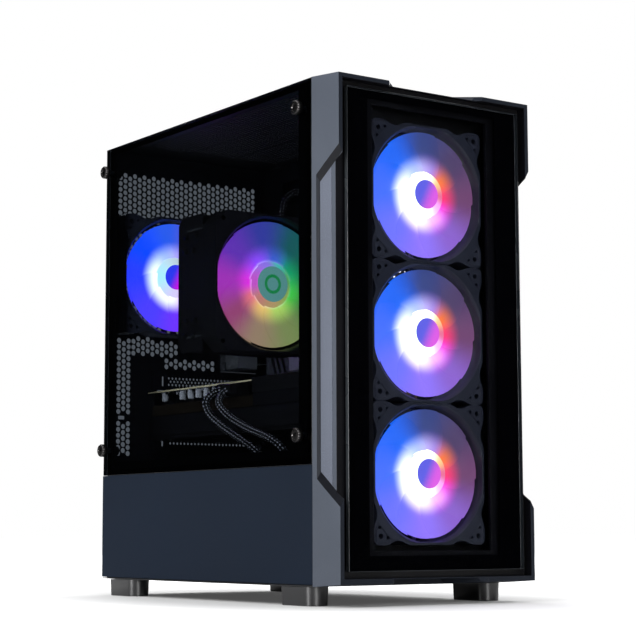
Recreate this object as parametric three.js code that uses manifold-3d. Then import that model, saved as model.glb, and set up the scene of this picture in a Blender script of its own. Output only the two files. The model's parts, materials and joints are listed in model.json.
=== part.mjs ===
// Desktop computer tower: a compact case with a glass left side and a glass front,
// lit fans, and a full set of parts inside. Millimetres, +Z up, front towards -Y.
//
// Everything is laid out in the case's own coordinates: x = 0 is the case's centre
// plane, y = 0 the plane of the front rim and z = 0 the floor. The last lines move
// the whole tower so that its origin is the bottom centre of its bounding box.

import * as THREE from 'three';
import { ConvexGeometry } from 'three/addons/geometries/ConvexGeometry.js';
import { mergeVertices } from 'three/addons/utils/BufferGeometryUtils.js';
import Module from 'manifold-3d';

const wasm = await Module();
wasm.setup();

// ---------------------------------------------------------------- driving dimensions

const GAP = 0.3;                // clearance between pieces that touch
const SHEET = 1;                // steel sheet

// case envelope
const SIDE_X = 104.3;           // centre plane to the outer face of either side
const FOOT_HEIGHT = 16;         // floor to the underside of the base
const SKIN_BOTTOM = 17.6;       // lower edge of both side panels
const BODY_TOP = 444;
const SEAM_Y = 39.2;            // back edge of the front panel
const REAR_Y = 399.5;           // outer face of the rear wall
const SHROUD_TOP = 130;         // top face of the power supply shroud
const TRAY_X = 82;              // face of the motherboard tray

// front panel
const RIM_WIDTH = 3.9;          // wall of the rim round the front recess
const RIM_TOP_DROP = 3.8;       // how much lower the rim's front edge is than the seam
const RIM_BOTTOM = 18.4;        // lower edge of the rim
const FACE_Y = 9.8;             // front face of the panel behind the glass
const RECESS_DEPTH = 3.5;       // hollow in the middle of each side, top and bottom
const RECESS_BACK_Y = 32.7;
const FRONT_WINDOW = { halfWidth: 63, bottom: 45, top: 420 };
const FRONT_GLASS = { halfWidth: 94, bottom: 28.5, top: 431, front: 2.5, thick: 4 };

// left side
const SIDE_GLASS = { thick: 4, bottom: 116.4, back: 399.2 };
const GLASS_SCREW_Y = [55.2, 394.2];
const GLASS_SCREW_Z = [141, 419.8];

// right side
const REAR_SCREW = { x: 95.5, z: [96, 366] };

// fans: size across the mounting ears, thickness, radii, hub's depth behind the intake face
const CASE_FAN = { size: 120, depth: 25, duct: 57.5, tip: 55, hub: 20.6, nose: 1, blades: 9 };
const COOLER_FAN = { size: 132, depth: 25, duct: 62.5, tip: 60.4, hub: 22.4, nose: 3.6, blades: 9 };
const CARD_FAN = { tip: 43, hub: 16, height: 9, blades: 11 };
const SUPPLY_FAN = { tip: 56, hub: 20, height: 15, blades: 7 };
const FRONT_FAN_FACE = 14.2;
const FRONT_FAN_Z = [109.7, 230, 350.3];
const REAR_FAN = { x: -37, z: 317 };
const COOLER = { x: -19, z: 294.5, fanFace: 222, finBack: 291 };

// board and cards
const BOARD = { back: 76.6, face: 75, front: 154.5, rear: 398, bottom: 141, top: 385 };
const CARD = { edgeX: -57, top: 202.4, pcb: 200.6, bottom: 152, front: 96, rear: 394 };
const SLOT_PITCH = 20.32;
const SLOT_FIRST_Z = 213;       // middle of the uppermost slot
const SUPPLY = { x0: -68, x1: 81, front: 258, bottom: 20, top: 106 };

// ---------------------------------------------------------------- solids

function solid(geometry) {
  const bare = geometry.clone();
  bare.deleteAttribute('normal');
  bare.deleteAttribute('uv');
  const merged = mergeVertices(bare, 1e-4);
  return new wasm.Manifold(new wasm.Mesh({
    numProp: 3,
    vertProperties: Float32Array.from(merged.attributes.position.array),
    triVerts: Uint32Array.from(merged.index.array),
  }));
}

function geometryOf(body) {
  const data = body.getMesh();
  const geometry = new THREE.BufferGeometry();
  geometry.setAttribute('position', new THREE.BufferAttribute(data.vertProperties, 3));
  geometry.setIndex(new THREE.BufferAttribute(data.triVerts, 1));
  geometry.computeVertexNormals();
  return geometry;
}

function join(...bodies) {
  return bodies.reduce((sum, body) => sum.add(body));
}

function cut(body, ...tools) {
  return tools.reduce((left, tool) => left.subtract(tool), body);
}

// Axis-aligned block between two corners.
function block([x0, x1], [y0, y1], [z0, z1]) {
  const geometry = new THREE.BoxGeometry(x1 - x0, y1 - y0, z1 - z0);
  geometry.translate((x0 + x1) / 2, (y0 + y1) / 2, (z0 + z1) / 2);
  return solid(geometry);
}

// Round bar along an axis; [u, v] is its centre in the other two axes, in X, Y, Z order.
function rod(axis, [u, v], radius, [from, to], segments = 24, farRadius = radius) {
  const geometry = new THREE.CylinderGeometry(farRadius, radius, to - from, segments);
  const middle = (from + to) / 2;
  if (axis === 'x') {
    geometry.rotateZ(-Math.PI / 2);
    geometry.translate(middle, u, v);
  } else if (axis === 'y') {
    geometry.translate(u, middle, v);
  } else {
    geometry.rotateX(Math.PI / 2);
    geometry.translate(u, v, middle);
  }
  return solid(geometry);
}

// Outline of [u, v] points pushed along an axis; u and v are the other axes in order.
function prism(axis, outline, [from, to]) {
  const shape = new THREE.Shape(outline.map(([u, v]) => new THREE.Vector2(u, v)));
  const geometry = new THREE.ExtrudeGeometry(shape, { depth: to - from, bevelEnabled: false });
  const turn = new THREE.Matrix4();
  if (axis === 'x') {
    geometry.translate(0, 0, from);
    turn.set(0, 0, 1, 0, 1, 0, 0, 0, 0, 1, 0, 0, 0, 0, 0, 1);
  } else if (axis === 'y') {
    geometry.translate(0, 0, -to);
    turn.set(1, 0, 0, 0, 0, 0, -1, 0, 0, 1, 0, 0, 0, 0, 0, 1);
  } else {
    geometry.translate(0, 0, from);
  }
  geometry.applyMatrix4(turn);
  return solid(geometry);
}

// Smallest convex body round a set of [x, y, z] points.
function hull(points) {
  return solid(new ConvexGeometry(points.map(([x, y, z]) => new THREE.Vector3(x, y, z))));
}

function mirroredX(points) {
  return points.map(([x, y, z]) => [-x, y, z]);
}

// Round cable along a smooth curve through the given points.
function cable(points, radius, steps, sides = 8) {
  const path = new THREE.CatmullRomCurve3(points.map(([x, y, z]) => new THREE.Vector3(x, y, z)));
  const section = new THREE.Shape();
  for (let i = 0; i < sides; i++) {
    const angle = (2 * Math.PI * i) / sides;
    const x = radius * Math.cos(angle);
    const y = radius * Math.sin(angle);
    if (i === 0) section.moveTo(x, y);
    else section.lineTo(x, y);
  }
  return solid(new THREE.ExtrudeGeometry(section, { steps, extrudePath: path, bevelEnabled: false }));
}

// ---------------------------------------------------------------- finishes

const FINISHES = {
  steel: { color: 0x14171c, roughness: 0.5, metalness: 0.6 },
  bezel: { color: 0x3b4046, roughness: 0.55, metalness: 0.1 },
  plastic: { color: 0x15171a, roughness: 0.5, metalness: 0 },
  rubber: { color: 0x101112, roughness: 0.85, metalness: 0 },
  darkMetal: { color: 0x1b1c1f, roughness: 0.35, metalness: 0.9 },
  bareMetal: { color: 0xb5b9bd, roughness: 0.35, metalness: 1 },
  blades: { color: 0x8f7dff, roughness: 0.4, metalness: 0 },
  mesh: { color: 0x1a1c1f, roughness: 0.8, metalness: 0 },
  board: { color: 0x101418, roughness: 0.5, metalness: 0 },
  sleeve: { color: 0x1c1d20, roughness: 0.8, metalness: 0 },
};

function finishOf(name) {
  if (name === 'glass') {
    const dark = { color: 0x0c0e10, roughness: 0.05, metalness: 0, transparent: true, opacity: 0.55 };
    return new THREE.MeshStandardMaterial(dark);
  }
  return new THREE.MeshStandardMaterial(FINISHES[name]);
}

function piece(name, body, finish) {
  const mesh = new THREE.Mesh(geometryOf(body), finishOf(finish));
  mesh.name = name;
  return mesh;
}

const tower = new THREE.Group();

function add(name, body, finish) {
  tower.add(piece(name, body, finish));
}

// ---------------------------------------------------------------- chassis

const INNER_X = 99.6;           // outer faces of the chassis side flanges
const BASE_Z = FOOT_HEIGHT;
const CHASSIS_FRONT_Y = 39.5;
const REAR_WALL = [REAR_Y - SHEET, REAR_Y];
const ROOF_Z = BODY_TOP - SHEET;

function chassisBase() {
  const y = [CHASSIS_FRONT_Y, REAR_WALL[0] - GAP];
  const panX = SIDE_X - GAP;
  const pan = block([-panX, panX], [CHASSIS_FRONT_Y, REAR_Y], [BASE_Z, BASE_Z + SHEET]);
  const left = block([-INNER_X, -INNER_X + SHEET], y, [BASE_Z, BASE_Z + 14]);
  const right = block([INNER_X - SHEET, INNER_X], y, [BASE_Z, BASE_Z + 14]);
  const intake = block([-50, 54], [272, 384], [BASE_Z - 1, BASE_Z + 2]);
  return cut(join(pan, left, right), intake);
}

const PORT_WINDOW = { x: [31, 75.2], z: [226, 385] };
const SLOT_X = [-44, 70];

// Posts behind the glass that its thumbscrews go into, and their bores.
function glassPosts(y) {
  const posts = GLASS_SCREW_Z.map((z) => rod('x', [y, z], 4.6, [-99.8, -92], 10));
  const bores = GLASS_SCREW_Z.map((z) => rod('x', [y, z], 2.3, [-101, -91], 8));
  return { posts, bores };
}

function chassisRear() {
  const bottom = BASE_Z + SHEET + GAP;
  const top = ROOF_Z - GAP;
  const wall = block([-INNER_X, INNER_X], REAR_WALL, [bottom, top]);
  const left = block([-INNER_X, -INNER_X + SHEET], [REAR_Y - 14, REAR_Y], [BASE_Z + 15, top]);
  const ports = block(PORT_WINDOW.x, [REAR_Y - 3, REAR_Y + 1], PORT_WINDOW.z);
  const slotTop = SLOT_FIRST_Z + SLOT_PITCH / 2;
  const slots = block(SLOT_X, [REAR_Y - 3, REAR_Y + 1], [slotTop - 4 * SLOT_PITCH, slotTop]);
  const supply = block([SUPPLY.x0 + 5, SUPPLY.x1 - 5], [REAR_Y - 3, REAR_Y + 1], [25, 101]);
  const screws = REAR_SCREW.z.map((z) => rod('y', [REAR_SCREW.x, z], 2.4, [REAR_Y - 3, REAR_Y + 1], 8));
  const { posts, bores } = glassPosts(GLASS_SCREW_Y[1]);
  return cut(join(wall, left, ...posts), ports, slots, supply, ...screws, ...bores);
}

function chassisFront() {
  const y = [CHASSIS_FRONT_Y, CHASSIS_FRONT_Y + SHEET];
  const z = [BASE_Z + SHEET + GAP, ROOF_Z - GAP];
  const wall = block([-INNER_X + 1.3, INNER_X - 1.3], y, z);
  const flangeZ = [BASE_Z + 15, ROOF_Z - GAP];
  const left = block([-INNER_X, -INNER_X + SHEET], [y[0], y[0] + 26], flangeZ);
  const right = block([INNER_X - SHEET, INNER_X], [y[0], y[0] + 12], flangeZ);
  const tabs = block([-INNER_X, INNER_X], y, flangeZ);
  const { posts, bores } = glassPosts(GLASS_SCREW_Y[0]);
  const vents = FRONT_FAN_Z.map((fanZ) => rod('y', [0, fanZ], 57, [y[0] - 1, y[1] + 1]));
  return cut(join(wall, left, right, tabs, ...posts), ...vents, ...bores);
}

const IO_MODULE = { x: [-46, 46], y: [46, 64] };

function chassisTop() {
  const y = [CHASSIS_FRONT_Y, REAR_Y];
  const roof = block([-INNER_X, INNER_X], y, [ROOF_Z, BODY_TOP]);
  const opening = block(IO_MODULE.x, IO_MODULE.y, [ROOF_Z - 1, BODY_TOP + 1]);
  return cut(roof, opening);
}

const TRAY = { y: [60, 397.8], z: [20, 442.4] };

function motherboardTray() {
  const wall = block([TRAY_X, TRAY_X + SHEET], TRAY.y, TRAY.z);
  const x = [TRAY_X - 1, TRAY_X + 2];
  const cableSlots = [[300, 380], [180, 260]].map((z) => block(x, [118, 142], z));
  const backing = block(x, [225, 325], [235, 350]);
  const powerSlot = block(x, [310, 360], [400, 424]);
  const supplySlot = block(x, [200, 240], [36, 96]);
  const rearFlange = block([TRAY_X, INNER_X - 1.4], [TRAY.y[1] - SHEET, TRAY.y[1]], TRAY.z);
  return cut(join(wall, rearFlange), ...cableSlots, backing, powerSlot, supplySlot);
}

function supplyShroud() {
  const y = [46, 397.8];
  const roof = block([-98, TRAY_X - GAP], y, [SHROUD_TOP - SHEET, SHROUD_TOP]);
  const side = block([-98, -98 + SHEET], y, [BASE_Z + SHEET + GAP, SHROUD_TOP]);
  const cardCables = block([-76, -42], [138, 200], [SHROUD_TOP - 3, SHROUD_TOP + 1]);
  const boardCables = block([56, 79], [120, 160], [SHROUD_TOP - 3, SHROUD_TOP + 1]);
  return cut(join(roof, side), cardCables, boardCables);
}

function lowerSidePanel() {
  const y = [CHASSIS_FRONT_Y, REAR_Y + 1];
  const top = SIDE_GLASS.bottom - GAP;
  const skin = block([-SIDE_X, -SIDE_X + SHEET], y, [SKIN_BOTTOM, top]);
  const sill = block([-SIDE_X, -INNER_X - GAP], y, [top - SHEET, top]);
  const foot = block([-SIDE_X, -INNER_X - GAP], y, [SKIN_BOTTOM, SKIN_BOTTOM + SHEET]);
  return join(skin, sill, foot);
}

add('chassis_base', chassisBase(), 'steel');
add('chassis_rear', chassisRear(), 'steel');
add('chassis_front', chassisFront(), 'steel');
add('chassis_top', chassisTop(), 'steel');
add('motherboard_tray', motherboardTray(), 'steel');
add('psu_shroud', supplyShroud(), 'steel');
add('lower_side_panel', lowerSidePanel(), 'steel');

// ---------------------------------------------------------------- feet

const FOOT = { width: 22, length: 44, taper: 1, nose: 9.5, x: 93, front: 63.5, rear: 360.7 };

// Plan outline of a foot: rounded towards the front, nearly square behind.
function footOutline(inset) {
  const halfWidth = FOOT.width / 2 - inset;
  const halfLength = FOOT.length / 2 - inset;
  const points = [[-halfWidth, halfLength], [halfWidth, halfLength]];
  for (let i = 0; i <= 4; i++) {
    const angle = (i / 4) * (Math.PI / 2);
    const x = halfWidth - FOOT.nose + FOOT.nose * Math.cos(angle);
    const y = -halfLength + FOOT.nose - FOOT.nose * Math.sin(angle);
    points.push([x, y], [-x, y]);
  }
  return points;
}

function foot() {
  const top = FOOT_HEIGHT - GAP;
  const upper = footOutline(0).map(([x, y]) => [x, y, top]);
  const lower = footOutline(FOOT.taper).map(([x, y]) => [x, y, 0]);
  return hull([...upper, ...lower]);
}

for (const [row, y] of [['front', FOOT.front], ['rear', FOOT.rear]]) {
  for (const [side, sign] of [['left', -1], ['right', 1]]) {
    const mesh = piece(`foot_${row}_${side}`, foot(), 'rubber');
    mesh.position.set(sign * FOOT.x, y, 0);
    tower.add(mesh);
  }
}

// ---------------------------------------------------------------- front panel

// Wing ends: on the outer face a diagonal runs back from the rim to the ridge,
// and the hollow's floor is reached a few millimetres further in.
const WING = { rimTop: 379.6, ridgeTop: 358.6, rimBottom: 80.6, ridgeBottom: 104.2, slope: 6 };
const WING_TOP = { rim: 51.5, ridge: 28, setBack: 5, slope: 4 };

// Hollow in the middle of a side, as a convex cutter on the +X side.
function sideHollow() {
  const { rimTop, ridgeTop, rimBottom, ridgeBottom, slope } = WING;
  const lead = 3;
  const rise = ((rimTop - ridgeTop) / RECESS_BACK_Y) * lead;
  const outline = (x, shrink, back) => [
    [x, -lead, rimTop + rise - shrink],
    [x, back, ridgeTop - shrink],
    [x, back, ridgeBottom + shrink],
    [x, -lead, rimBottom - rise + shrink],
  ];
  const floorX = SIDE_X - RECESS_DEPTH;
  const reach = 2;
  const flare = 1 + reach / RECESS_DEPTH;
  const outer = outline(floorX + RECESS_DEPTH * flare, slope * (1 - flare), RECESS_BACK_Y + reach / 3);
  return [...outer, ...outline(floorX, slope, RECESS_BACK_Y - 1)];
}

// The rim between the wings is missing as far back as the panel's face.
function rimGap() {
  const { rimTop, rimBottom, slope } = WING;
  const drop = 6.3;
  const outline = (x) => [
    [x, -1, rimTop - slope],
    [x, FACE_Y, rimTop - slope - drop],
    [x, FACE_Y, rimBottom + slope + drop],
    [x, -1, rimBottom + slope],
  ];
  return [...outline(99), ...outline(SIDE_X + 2)];
}

// Hollow in the middle of the top or bottom edge; z is its floor at the front.
function edgeHollow(z, outward) {
  const { rim, ridge, slope } = WING_TOP;
  const lead = 3;
  const tilt = outward > 0 ? RIM_TOP_DROP / SEAM_Y : 0;
  const outline = (offset, shrink) => {
    const front = z + offset - tilt * lead;
    const back = z + offset + tilt * RECESS_BACK_Y;
    return [
      [-rim - 2 + shrink, -lead, front], [rim + 2 - shrink, -lead, front],
      [-ridge + shrink, RECESS_BACK_Y, back], [ridge - shrink, RECESS_BACK_Y, back],
    ];
  };
  return hull([...outline(0, slope), ...outline(outward * 6, -slope / 2)]);
}

// The middle of the top and bottom rims stands a little behind the wings.
function rimSetBack(z0, z1) {
  const { rim, setBack } = WING_TOP;
  return prism('z', [[-rim, -1], [rim, -1], [rim, 0], [rim - setBack, setBack],
    [-rim + setBack, setBack], [-rim, 0]], [z0, z1]);
}

function frontBezel() {
  const rimTop = BODY_TOP - RIM_TOP_DROP;
  const profile = [[0, RIM_BOTTOM], [SEAM_Y, FOOT_HEIGHT], [SEAM_Y, BODY_TOP], [0, rimTop]];
  const body = prism('x', profile, [-SIDE_X, SIDE_X]);
  const innerX = SIDE_X - RIM_WIDTH;
  const front = block([-innerX, innerX], [-1, FACE_Y], [RIM_BOTTOM + 4.4, rimTop - 3.6]);
  const back = block([-97.6, 97.6], [FACE_Y + 3, SEAM_Y + 1], [25, 433]);
  const { halfWidth, bottom, top } = FRONT_WINDOW;
  const window = block([-halfWidth, halfWidth], [FACE_Y - 1, FACE_Y + 4], [bottom, top]);
  const shell = cut(
    body, front, back, window,
    hull(sideHollow()), hull(mirroredX(sideHollow())),
    hull(rimGap()), hull(mirroredX(rimGap())),
    edgeHollow(rimTop - 3.6, 1), edgeHollow(RIM_BOTTOM + 3.5, -1),
    rimSetBack(rimTop - 8, rimTop + 1), rimSetBack(RIM_BOTTOM - 1, RIM_BOTTOM + 8),
  );
  const glassBack = FRONT_GLASS.front + FRONT_GLASS.thick;
  const pads = [-84, 84].flatMap((x) => [44, 230, 416].map(
    (z) => rod('y', [x, z], 5, [glassBack + GAP, FACE_Y + 1], 10)));
  return join(shell, ...pads);
}

function frontGlass() {
  const { halfWidth, bottom, top, front, thick } = FRONT_GLASS;
  return block([-halfWidth, halfWidth], [front, front + thick], [bottom, top]);
}

add('front_bezel', frontBezel(), 'bezel');
add('front_glass', frontGlass(), 'glass');

// ---------------------------------------------------------------- glass side panel

function glassScrewPlaces() {
  return GLASS_SCREW_Z.flatMap((z) => GLASS_SCREW_Y.map((y) => [y, z]));
}

function sideGlass() {
  const { thick, bottom, back } = SIDE_GLASS;
  const pane = block([-SIDE_X, -SIDE_X + thick], [CHASSIS_FRONT_Y + 0.2, back], [bottom, BODY_TOP - 0.2]);
  const holes = glassScrewPlaces().map(([y, z]) => rod('x', [y, z], 3, [-SIDE_X - 1, -SIDE_X + 5], 8));
  return cut(pane, ...holes);
}

// Thumbscrew along +X: head, collar and shank, the shank's tip at the local origin.
function glassScrew() {
  const head = rod('x', [0, 0], 6.2, [-17.4, -12.2], 14);
  const collar = rod('x', [0, 0], 4.2, [-12.3, -11], 10);
  const shank = rod('x', [0, 0], 2, [-11.1, 0], 8);
  return join(head, collar, shank);
}

add('side_glass', sideGlass(), 'glass');
glassScrewPlaces().forEach(([y, z], index) => {
  const mesh = piece(`glass_screw_${index + 1}`, glassScrew(), 'darkMetal');
  mesh.position.set(-94, y, z);
  tower.add(mesh);
});

// ---------------------------------------------------------------- right side panel

function rightSidePanel() {
  const y = [CHASSIS_FRONT_Y + 0.2, REAR_Y + 1.5];
  const z = [SKIN_BOTTOM, BODY_TOP - 0.2];
  const skin = block([SIDE_X - SHEET, SIDE_X], y, z);
  const lip = block([90, SIDE_X], [y[1] - SHEET, y[1]], [z[0] + 20, z[1] - 20]);
  const top = block([INNER_X + GAP, SIDE_X], y, [z[1] - SHEET, z[1]]);
  const bottom = block([INNER_X + GAP, SIDE_X], y, [z[0], z[0] + SHEET]);
  const holes = REAR_SCREW.z.map((hole) => rod('y', [REAR_SCREW.x, hole], 2.4, [y[1] - 3, y[1] + 1], 8));
  return cut(join(skin, lip, top, bottom), ...holes);
}

// Thumbscrew along -Y: knurled head behind, shank pointing forward from the lip.
function rearScrew() {
  const head = rod('y', [0, 0], 5.6, [0.3, 7.4], 14);
  const shank = rod('y', [0, 0], 2, [-2.1, 0.4], 8);
  return join(head, shank);
}

add('right_side_panel', rightSidePanel(), 'steel');
REAR_SCREW.z.forEach((z, index) => {
  const mesh = piece(`rear_screw_${index + 1}`, rearScrew(), 'darkMetal');
  mesh.position.set(REAR_SCREW.x, REAR_Y + 1.5, z);
  tower.add(mesh);
});

// ---------------------------------------------------------------- filters

function topFilter() {
  return block([-84, 84], [92, 372], [BODY_TOP + GAP, BODY_TOP + 1.8]);
}

function supplyFilter() {
  const frame = block([-58, 62], [262, 400], [BASE_Z - 2.5, BASE_Z - GAP]);
  const window = block([-52, 56], [268, 388], [BASE_Z - 1.5, BASE_Z + 1]);
  const grip = block([-18, 22], [396, 400], [BASE_Z - 4.5, BASE_Z - 2]);
  return join(cut(frame, window), grip);
}

add('top_filter', topFilter(), 'mesh');
add('psu_filter', supplyFilter(), 'mesh');

// ---------------------------------------------------------------- front connections

const POWER_BUTTON = { x: -34, y: 55, radius: 5.4 };
const RESET_BUTTON = { x: -20, y: 55, radius: 2.8 };
const USB_SOCKET_X = [-3, 16];
const AUDIO_X = 33;

function ioModule() {
  const [x0, x1] = IO_MODULE.x;
  const [y0, y1] = IO_MODULE.y;
  const body = block([x0 + GAP, x1 - GAP], [y0 + GAP, y1 - GAP], [424, BODY_TOP + 0.6]);
  const sockets = USB_SOCKET_X.map((x) => block([x - 6.6, x + 6.6], [55 - 2.8, 55 + 2.8], [430, 450]));
  const jack = rod('z', [AUDIO_X, 55], 1.9, [431, 450], 10);
  const wells = [POWER_BUTTON, RESET_BUTTON].map(
    ({ x, y, radius }) => rod('z', [x, y], radius + 0.35, [434, 450], 16));
  return cut(body, ...sockets, jack, ...wells);
}

function button({ x, y, radius }, height) {
  return rod('z', [x, y], radius, [437, BODY_TOP + height], 16);
}

add('io_module', ioModule(), 'plastic');
add('power_button', button(POWER_BUTTON, 1.6), 'plastic');
add('reset_button', button(RESET_BUTTON, 1.2), 'plastic');

// ---------------------------------------------------------------- fans

// Outline of a fan frame: a flat at the middle of each side, a waist, and four ears.
function frameOutline(size) {
  const half = size / 2;
  const corner = [[1, 0.375], [0.93, 0.55], [1, 0.8], [0.94, 0.94], [0.8, 1], [0.55, 0.93], [0.375, 1]];
  const outline = [];
  for (let turn = 0; turn < 4; turn++) {
    const angle = (turn * Math.PI) / 2;
    for (const [u, v] of corner) {
      const x = u * Math.cos(angle) - v * Math.sin(angle);
      const y = u * Math.sin(angle) + v * Math.cos(angle);
      outline.push([x * half, y * half]);
    }
  }
  return outline;
}

// Fan frame along +Z: intake face at the top, motor mount and struts at z = 0.
function fanFrame({ size, depth, duct, hub }) {
  const body = prism('z', frameOutline(size), [0, depth]);
  const bore = rod('z', [0, 0], duct, [-1, depth + 1], 32);
  const hole = size * 0.4375;
  const holes = [-hole, hole].flatMap((x) => [-hole, hole].map(
    (y) => rod('z', [x, y], 2.2, [-1, depth + 1], 6)));
  const mount = rod('z', [0, 0], hub, [0, 3], 16);
  const reach = duct + 1;
  const struts = [block([-reach, reach], [-2, 2], [0, 2.6]), block([-2, 2], [-reach, reach], [0, 2.6])];
  return join(cut(body, bore, ...holes), mount, ...struts);
}

// Impeller along +Z: a hub with flat pitched blades, each the same sector of a disc.
function impeller({ tip, hub, blades }, [z0, z1], pitch) {
  const sweep = (2 * Math.PI / blades) * 0.42;
  const root = hub - 2;
  const corner = (radius, angle) => [radius * Math.cos(angle), radius * Math.sin(angle)];
  const outline = [corner(root, -sweep), corner(tip, -sweep), corner(tip, sweep), corner(root, sweep)];
  const blade = prism('z', outline, [-0.8, 0.8]).rotate([pitch, 0, 0]);
  const parts = [rod('z', [0, 0], hub, [z0, z1], 18)];
  for (let i = 0; i < blades; i++) {
    parts.push(blade.rotate([0, 0, (360 * i) / blades]).translate([0, 0, (z0 + z1) / 2]));
  }
  return join(...parts);
}

// Frame and impeller of one fan, placed together.
function addFan(frameName, rotorName, fan, place, turn) {
  const group = new THREE.Group();
  group.add(piece(frameName, fanFrame(fan), 'plastic'));
  group.add(piece(rotorName, impeller(fan, [5.5, fan.depth - fan.nose], 19), 'blades'));
  group.position.set(...place);
  group.rotation.set(...turn);
  tower.add(group);
}

const FACING_FRONT = [Math.PI / 2, 0, 0];
FRONT_FAN_Z.forEach((z, index) => {
  const place = [0, FRONT_FAN_FACE + CASE_FAN.depth, z];
  addFan(`front_fan_frame_${index + 1}`, `front_fan_rotor_${index + 1}`, CASE_FAN, place, FACING_FRONT);
});
addFan('rear_fan_frame', 'rear_fan_rotor', CASE_FAN,
  [REAR_FAN.x, REAR_WALL[0] - GAP, REAR_FAN.z], FACING_FRONT);
addFan('cooler_fan_frame', 'cooler_fan_rotor', COOLER_FAN,
  [COOLER.x, COOLER.fanFace + COOLER_FAN.depth, COOLER.z], FACING_FRONT);

// ---------------------------------------------------------------- processor cooler

function coolerHeatsink() {
  const half = 65;
  const y = [COOLER.fanFace + COOLER_FAN.depth + GAP, COOLER.finBack];
  const corner = 7;
  const z = [COOLER.z - half, COOLER.z + half];
  const fins = prism('x', [[y[0], z[0]], [y[1] - corner, z[0]], [y[1], z[0] + corner],
    [y[1], z[1] - corner], [y[1] - corner, z[1]], [y[0], z[1]]], [-84, 30]);
  const middle = (y[0] + y[1]) / 2;
  const pipes = [-36, -12, 12, 36].map((dz) => rod('x', [middle, COOLER.z + dz], 3, [28, 58], 10));
  const base = block([56, 70], [middle - 20, middle + 20], [COOLER.z - 42, COOLER.z + 42]);
  return join(fins, ...pipes, base);
}

add('cooler_heatsink', coolerHeatsink(), 'darkMetal');

// ---------------------------------------------------------------- motherboard

const MEMORY_Y = [196, 205];

function motherboard() {
  const { face, back, front, rear, bottom, top } = BOARD;
  const sheet = block([face, back], [front, rear - 0.6], [bottom, top]);
  const socket = block([70.3, face + 0.5], [248, 296], [COOLER.z - 28, COOLER.z + 28]);
  const slot = block([66, face + 0.5], [262, 352], [197, 205]);
  const power = block([63, face + 0.5], [158, 168], [290, 342]);
  const processorPower = block([63, face + 0.5], [331, 349], [372, 384]);
  const memory = MEMORY_Y.map((y) => block([70, face + 0.5], [y - 3, y + 3], [224, 365]));
  return join(sheet, socket, slot, power, processorPower, ...memory);
}

// Rear connectors: a stack of metal shells behind the case's port window.
const PORTS = {
  usbLow: { x: [46, 61], z: [235, 247] },
  network: { x: [44, 58], z: [257, 271] },
  usbHigh: { x: [46, 61], z: [281, 293] },
  video: { x: [54, 60], z: [303, 319] },
  usbTop: { x: [46, 61], z: [329, 341] },
};

function ioPorts() {
  const body = block([36, BOARD.face - GAP], [374, REAR_Y + 0.4], [228, 383]);
  const sockets = Object.values(PORTS).map(({ x, z }) => block(x, [REAR_Y - 12, REAR_Y + 2], z));
  return cut(body, ...sockets);
}

function powerHeatsink() {
  const base = block([44, BOARD.face - GAP], [340, 368], [262, 356]);
  const grooves = [280, 298, 316, 334].map((z) => block([40, 62], [330, 380], [z, z + 6]));
  return cut(base, ...grooves);
}

function storageHeatsink() {
  return block([67, BOARD.face - GAP], [298, 366], [222, 242]);
}

function memoryModule(y) {
  const stick = block([38, 69.7], [y - 2.6, y + 2.6], [228, 361]);
  const notch = block([36, 41], [y - 4, y + 4], [262, 327]);
  return cut(stick, notch);
}

add('motherboard', motherboard(), 'board');
add('io_ports', ioPorts(), 'bareMetal');
add('vrm_heatsink', powerHeatsink(), 'darkMetal');
add('storage_heatsink', storageHeatsink(), 'bareMetal');
MEMORY_Y.forEach((y, index) => add(`memory_${index + 1}`, memoryModule(y), 'plastic'));

// ---------------------------------------------------------------- graphics card

const CARD_FAN_Y = [147, 245, 343];
const CARD_FAN_X = 3;
const CARD_PCB_FRONT = 204;
const CARD_PORT_X = [-24, -2, 20];
const CARD_PORT_Z = [187.6, 193.4];

function cardBoard() {
  const z = [CARD.pcb - 1.6, CARD.pcb];
  const sheet = block([CARD.edgeX, 57], [CARD_PCB_FRONT, CARD.rear], z);
  const fingers = block([56, 65.7], [264, 350], z);
  const socket = block([CARD.edgeX, CARD.edgeX + 12], [226, 250], [z[0] - 11, z[0] + 0.5]);
  return join(sheet, fingers, socket);
}

function cardShroud() {
  const z = [CARD.bottom, CARD.pcb - 1.6 - GAP];
  const rear = block([CARD.edgeX, 56], [CARD_PCB_FRONT - 1, CARD.rear], z);
  const front = block([CARD.edgeX, 56], [CARD.front, CARD_PCB_FRONT - GAP], [z[0], CARD.top]);
  const socketGap = block([CARD.edgeX - 1, CARD.edgeX + 13], [225, 251], [z[1] - 12, z[1] + 1]);
  const wells = CARD_FAN_Y.map((y) => rod('z', [CARD_FAN_X, y], CARD_FAN.tip + 2, [CARD.bottom - 1, 166]));
  const ports = CARD_PORT_X.map((x) => block([x - 8, x + 8], [CARD.rear - 14, CARD.rear + 1], CARD_PORT_Z));
  return cut(join(rear, front), socketGap, ...wells, ...ports);
}

function cardBracket() {
  const y = [CARD.rear + GAP, CARD.rear + GAP + 1];
  const plate = block([-50, 62], y, [SLOT_FIRST_Z - 2.5 * SLOT_PITCH + 1, SLOT_FIRST_Z - SLOT_PITCH / 2 - 1]);
  const ports = CARD_PORT_X.map((x) => block([x - 8, x + 8], [y[0] - 1, y[1] + 1], CARD_PORT_Z));
  return cut(plate, ...ports);
}

add('gpu_board', cardBoard(), 'board');
add('gpu_shroud', cardShroud(), 'plastic');
add('gpu_bracket', cardBracket(), 'bareMetal');
CARD_FAN_Y.forEach((y, index) => {
  const rotor = piece(`gpu_fan_${index + 1}`, impeller(CARD_FAN, [0, CARD_FAN.height], 17), 'plastic');
  rotor.position.set(CARD_FAN_X, y, CARD.bottom + 1.5 + CARD_FAN.height);
  rotor.rotation.set(Math.PI, 0, 0);
  tower.add(rotor);
});

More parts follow.
